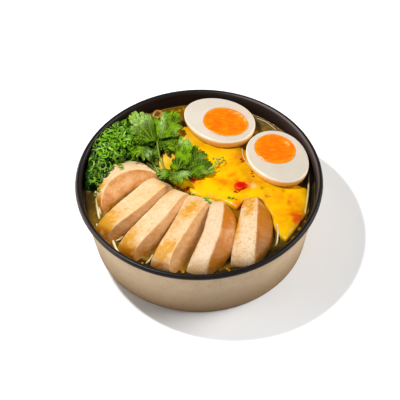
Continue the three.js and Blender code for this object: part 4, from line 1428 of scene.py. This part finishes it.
# ---- Coriander ----
# Each leaflet:
#   base     where it joins its stem
#   heading  the way it points, in degrees from +X
#   climb    how much its far end rises
#   camber   how far its middle stands up
#   tone     how light it is
#   fan      its edge, as (degrees from the heading, distance from the base)
#   tones    lighter and darker places, as (degrees from the heading, distance from the base, width,
#            length, strength)
#   painted_sheen   pale silvery places, a painted sheen, the same
LEAFLETS = [
    {"base": (-33.7, 35.8, 57.4), "heading": 117, "climb": -0.02, "camber": 1.8, "tone": 0.4,
     "fan": [(-34, 6), (-27, 20), (-22, 30), (-12, 33.5), (-3, 35.8), (8, 34), (16, 28), (25, 23), (39, 19.4),
             (55, 15), (80, 9)],
     "tones": [(0, 5, 16, 13, -0.6), (-20, 16, 5, 8, -0.3), (2, 21, 5, 5, -0.5)],
     "painted_sheen": [(-6, 28, 9, 8, 0.9), (14, 24, 6, 6, 0.5)]},
    {"base": (-28.4, 41.4, 54.0), "heading": 75, "climb": -0.02, "camber": 1.8, "tone": 0.4,
     "fan": [(-62, 11.9), (-41, 19.6), (-29, 22.5), (-16, 29), (-2, 31.7), (12, 28.6), (20, 20), (29, 11),
             (50, 5)],
     "tones": [(-10, 22, 6, 6, -0.3), (-28, 14, 4, 5, 0.3)],
     "painted_sheen": [(14, 18, 3.2, 12, 0.9), (-44, 16, 3, 4, 0.5)]},
    {"base": (-42.8, 31.5, 57.4), "heading": -93, "climb": 0.0, "camber": 1.0, "tone": 0.3,
     "fan": [(-85, 6.5), (-62, 10), (-40, 13.2), (-20, 13), (-5, 10.7), (10, 14.7), (28, 14.3), (45, 12),
             (62, 8.4), (90, 5)],
     "tones": [(-30, 8, 7, 7, 0.25)],
     "painted_sheen": [(40, 10, 5, 5, 0.7)]},
    {"base": (-16.4, 10.3, 53.4), "heading": 81, "climb": -0.02, "camber": 1.6, "tone": 0.62,
     "fan": [(-64, 6), (-41, 12.9), (-29, 19.3), (-19, 26.5), (-8, 32), (2, 35), (8, 31), (10, 22),
             (20, 14.8), (33, 11.1), (52, 7.7), (74, 5)],
     "tones": [(28, 9, 5, 5, -0.45), (-20, 8, 4, 6, -0.3)],
     "painted_sheen": [(-3, 30, 6, 5, 0.75)]},
    {"base": (-17.2, 12.0, 48.9), "heading": 33, "climb": 0.0, "camber": 1.6, "tone": -0.04,
     "fan": [(-58, 10), (-50, 22), (-38, 27.5), (-27, 29.2), (-16, 28.6), (-6, 28), (5, 30.2), (16, 29.4),
             (24, 30.4), (31, 28), (36, 16), (45, 8)],
     "tones": [(-13, 26, 5, 5, -0.5), (10, 20, 5, 6, -0.15), (-36, 15, 5, 6, 0.25)],
     "painted_sheen": [(-38, 26, 4, 5, 0.5), (2, 24, 3, 3, 0.35)]},
    {"base": (-17.2, 10.3, 51.6), "heading": -80, "climb": 0.36, "camber": 1.0, "tone": 0.35,
     "fan": [(-85, 7.5), (-60, 10.4), (-35, 12.4), (-20, 15.2), (-3, 17.8), (8, 17.3), (18, 15.2), (32, 15.3),
             (45, 13.6), (62, 11.9), (80, 9)],
     "tones": [(-30, 9, 6, 5, -0.2)],
     "painted_sheen": [(60, 9, 6, 5, 0.7), (24, 9, 5, 5, 0.6)]},
    {"base": (-29.6, 46.4, 51.8), "heading": -56, "climb": -0.05, "camber": 1.2, "tone": 0.12,
     "fan": [(-60, 6), (-38, 11.5), (-23, 16.2), (-5, 19.7), (9, 18.4), (24, 18.7), (46, 16.2), (66, 14.7),
             (82, 9)],
     "tones": [(0, 10, 9, 6, -0.1)],
     "painted_sheen": [(30, 3, 4, 3, 0.8)]},
    {"base": (-31.5, 38.0, 53.0), "heading": 92, "climb": 0.05, "camber": 1.2, "tone": 0.45,
     "fan": [(-24, 9), (-16, 18), (-10, 25), (0, 27), (9, 25), (17, 18), (28, 9)],
     "tones": [(-4, 18, 4, 9, 0.2)],
     "painted_sheen": [(-10, 20, 2, 6, 0.4)]},
    {"base": (-33.5, 36.5, 52.6), "heading": 132, "climb": 0.02, "camber": 1.0, "tone": 0.35,
     "fan": [(-34, 8), (-22, 16), (-8, 21), (6, 22), (20, 19), (34, 12), (50, 7)],
     "tones": [(0, 14, 7, 7, 0.15)],
     "painted_sheen": []},
    {"base": (-31.8, 38.0, 50.6), "heading": -98, "climb": -0.1, "camber": 1.0, "tone": 0.3,
     "fan": [(-78, 7), (-52, 11), (-32, 14.5), (-12, 16), (4, 15.5), (18, 12), (34, 8), (52, 5)],
     "tones": [(10, 9, 5, 5, -0.2)],
     "painted_sheen": [(-20, 9, 3, 5, 0.4)]},
    {"base": (-18.6, 11.6, 50.2), "heading": 197, "climb": -0.04, "camber": 1.0, "tone": 0.4,
     "fan": [(-58, 5), (-40, 9), (-22, 13), (-6, 15), (10, 13.6), (26, 12.4), (42, 9), (62, 5)],
     "tones": [(14, 9, 4, 5, -0.2)],
     "painted_sheen": [(-4, 11, 3, 4, 0.6)]},
]
LEAF_THICKNESS = 0.3
LEAF_ROWS, LEAF_COLUMNS = 28, 260  # of faces from the base out, and round the edge
VEIN_ANGLES = (-56, -34, -13, 6, 27, 48)
PLEAT = 1.8  # how far a leaf rises between two main veins
TOOTH_SPACING = 3.0
TOOTH_DEPTH = 2.1
NOTCH_DEPTH = 5.6
NOTCH_WIDTH = 1.2


def leaf_spots(angle, reach, places):
    """Soft spots on a leaflet, added up."""
    total = np.zeros(len(angle))
    for degrees, distance, width, length, strength in places:
        across = reach * (angle - math.radians(degrees)) / width
        total += strength * np.exp(-(across ** 2) - ((reach - distance) / length) ** 2)
    return total


def fan_edge(fan, veins, share_round):
    """The lobed and toothed edge of a leaflet, from one side of its base round to the other."""
    corners = [(0.0, 0.0)] + [(r * math.cos(math.radians(a)), r * math.sin(math.radians(a))) for a, r in fan]
    path = smooth_path(np.array([(x, y, 0.0) for x, y in corners + corners[:1]]), 24)[:, :2]
    walked = np.concatenate([[0], np.cumsum(np.linalg.norm(np.diff(path, axis=0), axis=1))])
    there = share_round * walked[-1]
    edge = np.column_stack([np.interp(there, walked, path[:, k]) for k in (0, 1)])
    distance = np.linalg.norm(edge, axis=1)
    angle = np.arctan2(edge[:, 1], edge[:, 0])
    grown = TOOTH_DEPTH * (np.abs(np.sin(np.pi * there / TOOTH_SPACING)) ** 0.6 - 0.7)
    for low, high in zip(veins, veins[1:]):
        off = distance * (angle - (low + high) / 2)
        grown -= NOTCH_DEPTH * np.exp(-np.abs(off / NOTCH_WIDTH) ** 1.4)
    grown *= np.clip(distance / 14, 0, 1)
    return edge * (1 + grown / np.maximum(distance, 1.0))[:, None]


def make_leaf(number, leaf):
    """A lobed leaflet: a fan from its base, pleated between its veins."""
    base = np.array(leaf["base"], float)
    turn = rotation("Z", leaf["heading"])
    veins = [math.radians(degrees + 2.5 * math.sin(7 * degrees + number)) for degrees in VEIN_ANGLES]
    deselect_all()
    bpy.ops.mesh.primitive_grid_add(x_subdivisions=LEAF_COLUMNS, y_subdivisions=LEAF_ROWS, size=2)
    piece = bpy.context.object
    flat = points_of(piece) * MM
    share = (flat[:, 1] + 1) / 2
    edge = fan_edge(leaf["fan"], veins, (flat[:, 0] + 1) / 2)
    spot = edge * share[:, None]
    reach = np.hypot(*spot.T)
    angle = np.arctan2(edge[:, 1], np.maximum(edge[:, 0], 0.01))

    # Main veins fan out from the base, and side veins leave them on both sides.
    main = np.zeros(len(angle))
    off_vein = np.full(len(angle), 99.0)
    for vein in veins:
        off = reach * np.abs(angle - vein)
        off_vein = np.minimum(off_vein, off)
        main = np.maximum(main, np.exp(-(off / 0.45) ** 2) * np.clip(1.1 - share, 0, 1))
    side = np.abs(np.sin(1.35 * (reach - 0.8 * off_vein) + number)) ** 5 * np.clip(reach / 8 - 0.4, 0, 1)
    between = np.interp(angle, veins, np.arange(len(veins)))
    pleat = 1 - np.abs(2 * (between % 1.0) - 1)
    lift = PLEAT * pleat * share * np.clip(reach / 14, 0, 1)
    folds = 0.7 * np.sin(5.5 * angle + number) * share ** 2
    folds += 0.4 * np.sin(13 * angle + 2 * number) * share ** 3
    arch = leaf["camber"] * (1 - (2 * share - 1) ** 2) + leaf["climb"] * spot[:, 0]
    height = arch + folds + lift - 0.4 * main - 0.18 * side
    points = base + np.column_stack([spot, height]) @ turn.T
    points[:, 2] += 0.45 * lumps(points, 4.0, number)
    move_points(piece, points)
    mark(piece, "vein", np.clip(0.75 * main + 0.45 * side, 0, 1))
    tone = leaf["tone"] + leaf_spots(angle, reach, leaf["tones"]) + 1.1 * lumps(points, 4.2, number + 5)
    # Painted light and shade: lighter on the crests of the pleats and folds, darker in their hollows.
    mark(piece, "tone", np.clip(tone + 0.35 * (lift - 0.5) + 0.2 * folds, 0, 1))
    # Painted sheen: pale silvery places on the leaf.
    painted_sheen = leaf_spots(angle, reach, leaf["painted_sheen"]) * (1 + 0.8 * lumps(points, 3.0, number + 8))
    mark(piece, "painted_sheen", np.clip(painted_sheen, 0, 1))
    # The leaf's streaks run outwards, so they are laid out by angle and distance, one strip for each leaf.
    strip = np.full(len(share), number * 0.1)
    mark(piece, "vein_place", np.column_stack([angle * 0.02, reach * 0.0003, strip]))
    modify(piece, "SOLIDIFY", thickness=LEAF_THICKNESS * MM, offset=0)
    close_up(piece, 0.001)
    smooth(piece, 60)
    solid = f"coriander_leaf_{number}"
    replaced = [solid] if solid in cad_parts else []
    dress(piece, f"coriander_{number}", "coriander", CORIANDER, *replaced)


# Each stem as (radius, how pale it is, points that it passes through).
STEMS = [
    (0.62, 0.35, [(-31.5, 38.6, 54.8), (-30.4, 30, 53.4), (-28.6, 21, 51.8), (-26, 15, 50.2)]),
    (0.7, 0.9, [(-24, 13.4, 50.4), (-21, 11.6, 50.2), (-18.4, 10.6, 49.9)]),
]
LOOSE_STEMS = [
    (0.45, 0.95, [(6.2, 12.4, 50.2), (8.6, 13.8, 50.4), (10.9, 16.2, 50.5), (13.3, 19.1, 50.5),
                  (15.2, 21.6, 50.4)]),
    (1.1, 0.1, [(-31.2, 57.1, 53.0), (-31.6, 49.6, 52.0), (-32.8, 42.6, 50.6), (-34.2, 35.2, 49.6),
                (-36, 28.1, 48.4)]),
    (1.0, 0.3, [(-29.7, 44.5, 50.6), (-30.0, 37.0, 49.8), (-31.3, 29.6, 48.9), (-33.0, 23.5, 47.8)]),
    (1.0, 0.1, [(-33.2, 38.1, 51.0), (-32.6, 33.1, 49.6), (-32.5, 26.8, 48.6), (-31.7, 20.6, 47.6)]),
    (0.5, 0.8, [(-36.8, 26.6, 48.6), (-35.1, 23.1, 48.3), (-33.2, 19.3, 48.0), (-31.1, 15.5, 47.6),
                (-29.5, 12.5, 47.0)]),
    (0.5, 0.9, [(-31.7, 18.6, 48.0), (-28.7, 15.9, 48.4), (-25.2, 12.9, 48.8), (-21.8, 10.4, 49.2),
                (-19.2, 9.0, 49.6)]),
    (0.8, 0.15, [(-39.4, 22.9, 48.0), (-37.1, 21.2, 47.8), (-34.0, 17.8, 47.4), (-31.7, 13.6, 47.0),
                 (-30.2, 9.3, 46.6)]),
    (0.3, 0.6, [(13.3, 19.1, 50.6), (14.2, 22.6, 50.8), (12.6, 24.6, 50.6), (11.2, 23.2, 50.4)]),
    (0.3, 0.7, [(15.2, 21.6, 50.4), (18, 25.0, 50.6), (19.4, 23.4, 50.4), (19, 21.4, 50.2)]),
    (0.3, 0.5, [(12.0, 17.6, 50.5), (15.5, 18.9, 50.6), (17.6, 19.9, 50.4)]),
    (0.5, 0.4, [(-33.5, 60, 50.6), (-32.8, 52, 50.9), (-32.6, 45, 50.4)]),
]
BUD_LEVEL = 50.9
BUDS = [(14.2, 22.6), (11.4, 23.4), (18.6, 24.6), (19, 21.8), (17.8, 20), (16.2, 22.8), (13.0, 14.9)]


def stem(radius, points):
    """A stem whose thickness wavers along its length."""
    path = smooth_path(points, 8)
    return tube(path, radius * (1 + 0.14 * np.sin(np.linspace(0, 9, len(path)))), 10)


def make_stem(number, size):
    """One of the two thick stems."""
    radius, pale, points = size
    piece = joined([stem(radius, points)])
    mark(piece, "tone", np.full(len(piece.data.vertices), pale))
    smooth(piece, 80)
    dress(piece, f"stem_{number}", "coriander_stem", STEM, f"coriander_stem_{number}")


def make_loose_stems():
    """Thinner stalks, curled tips and flower buds among the leaves."""
    parts = []
    tones = []
    for radius, pale, points in LOOSE_STEMS:
        parts.append(stem(radius, points))
        tones.append(np.full(len(parts[-1][0]), pale))
    for x, y in BUDS:
        parts.append(crumb((x, y, BUD_LEVEL), 0.9, len(parts)))
        tones.append(np.full(len(parts[-1][0]), 0.25))
    piece = joined(parts)
    mark(piece, "tone", np.concatenate(tones))
    smooth(piece, 80)
    dress(piece, "loose_stems", "coriander_stem", STEM)


# ---- Chili and small bits ----
# Groups of bits, as (x, y, spread along x, spread along y, how many, size).
FRIED_GROUPS = [
    (-2.2, 8.6, 2.2, 3.6, 18, 1.7), (-8.6, -1.8, 1.8, 1.2, 8, 1.1), (33.6, 24.5, 1.2, 3.0, 12, 0.7),
    (42.2, 12.4, 1.6, 0.8, 5, 0.6), (40.4, 9.0, 1.8, 0.5, 4, 0.55), (28.0, -6.3, 2.0, 1.2, 6, 0.7),
    (50, -9, 9, 5, 4, 0.4),
]


def make_chili():
    """A lump of chili with an orange rim."""
    piece = even_copy("chili_piece", 0.5, 3)
    points = points_of(piece)
    points += normals_of(piece) * (0.35 * lumps(points, 3.0, 31) + 0.12 * lumps(points, 1.1, 32))[:, None]
    move_points(piece, points)
    middle = (points.max(axis=0) + points.min(axis=0)) / 2
    reach = np.ptp(points, axis=0) / 2
    outwards = np.linalg.norm(((points - middle) / reach)[:, :2], axis=1)
    mark(piece, "orange", np.clip(2.2 * outwards - 1.3 + 0.5 * lumps(points, 2.4, 33), 0, 1) * 0.9)
    mark(piece, "dark", np.zeros(len(points)))
    smooth(piece, 70)
    dress(piece, "chili_chunk", "chili", CHILI, "chili_piece")


def make_fried_bits():
    """Dark fried chili bits beside the coriander, and flecks along the second egg."""
    chance = random.Random(8)
    parts = []
    darks = []
    for x, y, spread_x, spread_y, count, size in FRIED_GROUPS:
        for _ in range(count):
            place_x, place_y = x + chance.gauss(0, spread_x / 1.5), y + chance.gauss(0, spread_y / 1.5)
            hit = surface_at(place_x, place_y, "cheese", "broth")
            if hit is None:
                continue
            grain = size * chance.uniform(0.6, 1.25)
            points, faces = crumb((place_x, place_y, hit[1] + 0.4 + 0.2 * grain), grain, len(parts))
            parts.append((points, faces))
            darks.append(np.full(len(points), chance.uniform(0.2, 1.0)))
    piece = joined(parts)
    darks = np.concatenate(darks)
    mark(piece, "orange", 0.7 * (1 - darks))
    mark(piece, "dark", darks)
    smooth(piece, 60)
    dress(piece, "fried_bits", "chili", CHILI)


# ---- Floor, light and camera ----
def add_lamp(name, kind, energy, towards=(0, 0, 1), place=(0, 0, 0), **settings):
    """A lamp at a place in metres. A sun shines from the side that towards points to."""
    lamp = bpy.data.lights.new(name, kind)
    lamp.energy = energy
    for key, value in settings.items():
        setattr(lamp, key, value)
    holder = bpy.data.objects.new(name, lamp)
    holder.location = place
    holder.rotation_euler = Vector(towards).to_track_quat("Z", "Y").to_euler()
    bpy.context.scene.collection.objects.link(holder)


def make_stage():
    """A pale floor and backdrop with three lamps."""
    deselect_all()
    bpy.ops.mesh.primitive_plane_add(size=8, location=(0, 0, -0.0002))
    floor = bpy.context.object
    settle(floor)
    floor.name = "floor"
    floor.data.materials.append(floor_finish())

    world = bpy.data.worlds.new("studio")
    bpy.context.scene.world = world
    world.use_nodes = True
    # The backdrop looks pale but gives little light of its own.
    sky = Recipe(world.node_tree)
    seen = sky.node("LightPath").outputs["Is Camera Ray"]
    backdrop = world.node_tree.nodes["Background"]
    backdrop.inputs["Color"].default_value = (1.0, 1.0, 1.0, 1.0)
    world.node_tree.links.new(sky.level(seen, 0.0, 1.0, 0.12, 0.9), backdrop.inputs["Strength"])

    # A broad soft light from the right, a low one from the left, and a small lamp above on the left that
    # throws the bowl's shadow.
    add_lamp("soft_box", "SUN", 3.3, towards=(0.8, 0.13, 0.6), angle=math.radians(36))
    add_lamp("low_box", "SUN", 1.9, towards=(-0.98, -0.04, 0.19), angle=math.radians(40))
    add_lamp("key", "POINT", 13.5, place=(-0.218, 0.045, 0.529), shadow_soft_size=0.014)


def make_camera():
    """Looks down on the bowl from the eater's side."""
    distance = 0.9
    elevation = math.radians(50.7)
    roll = math.radians(-1.46)
    aim = Vector((0.0004, 0.0, 0.0303))
    optics = bpy.data.cameras.new("camera")
    optics.lens = 106.1
    optics.sensor_width = 36
    camera = bpy.data.objects.new("camera", optics)
    back = Vector((0, -math.cos(elevation), math.sin(elevation)))
    look = back.to_track_quat("Z", "Y").to_matrix().to_4x4()
    camera.matrix_world = Matrix.Translation(aim + back * distance) @ look @ Matrix.Rotation(roll, 4, "Z")
    bpy.context.scene.collection.objects.link(camera)
    bpy.context.scene.camera = camera


make_kraft_wall()
make_kraft_base()
make_lining()
make_broth()
make_oil()
make_noodles()
make_noodle_core()
make_cheese()
for egg in EGGS:
    make_egg_white(egg)
    make_egg_yolk(egg)
for number, size in enumerate(SLICES, 1):
    make_chicken(number, size)
make_scallion_core()
make_scallions()
for number, leaf in enumerate(LEAFLETS, 1):
    make_leaf(number, leaf)
for number, size in enumerate(STEMS, 1):
    make_stem(number, size)
make_loose_stems()
make_chili()
make_fried_bits()
make_stage()
make_camera()
bpy.context.scene.view_settings.view_transform = "Standard"
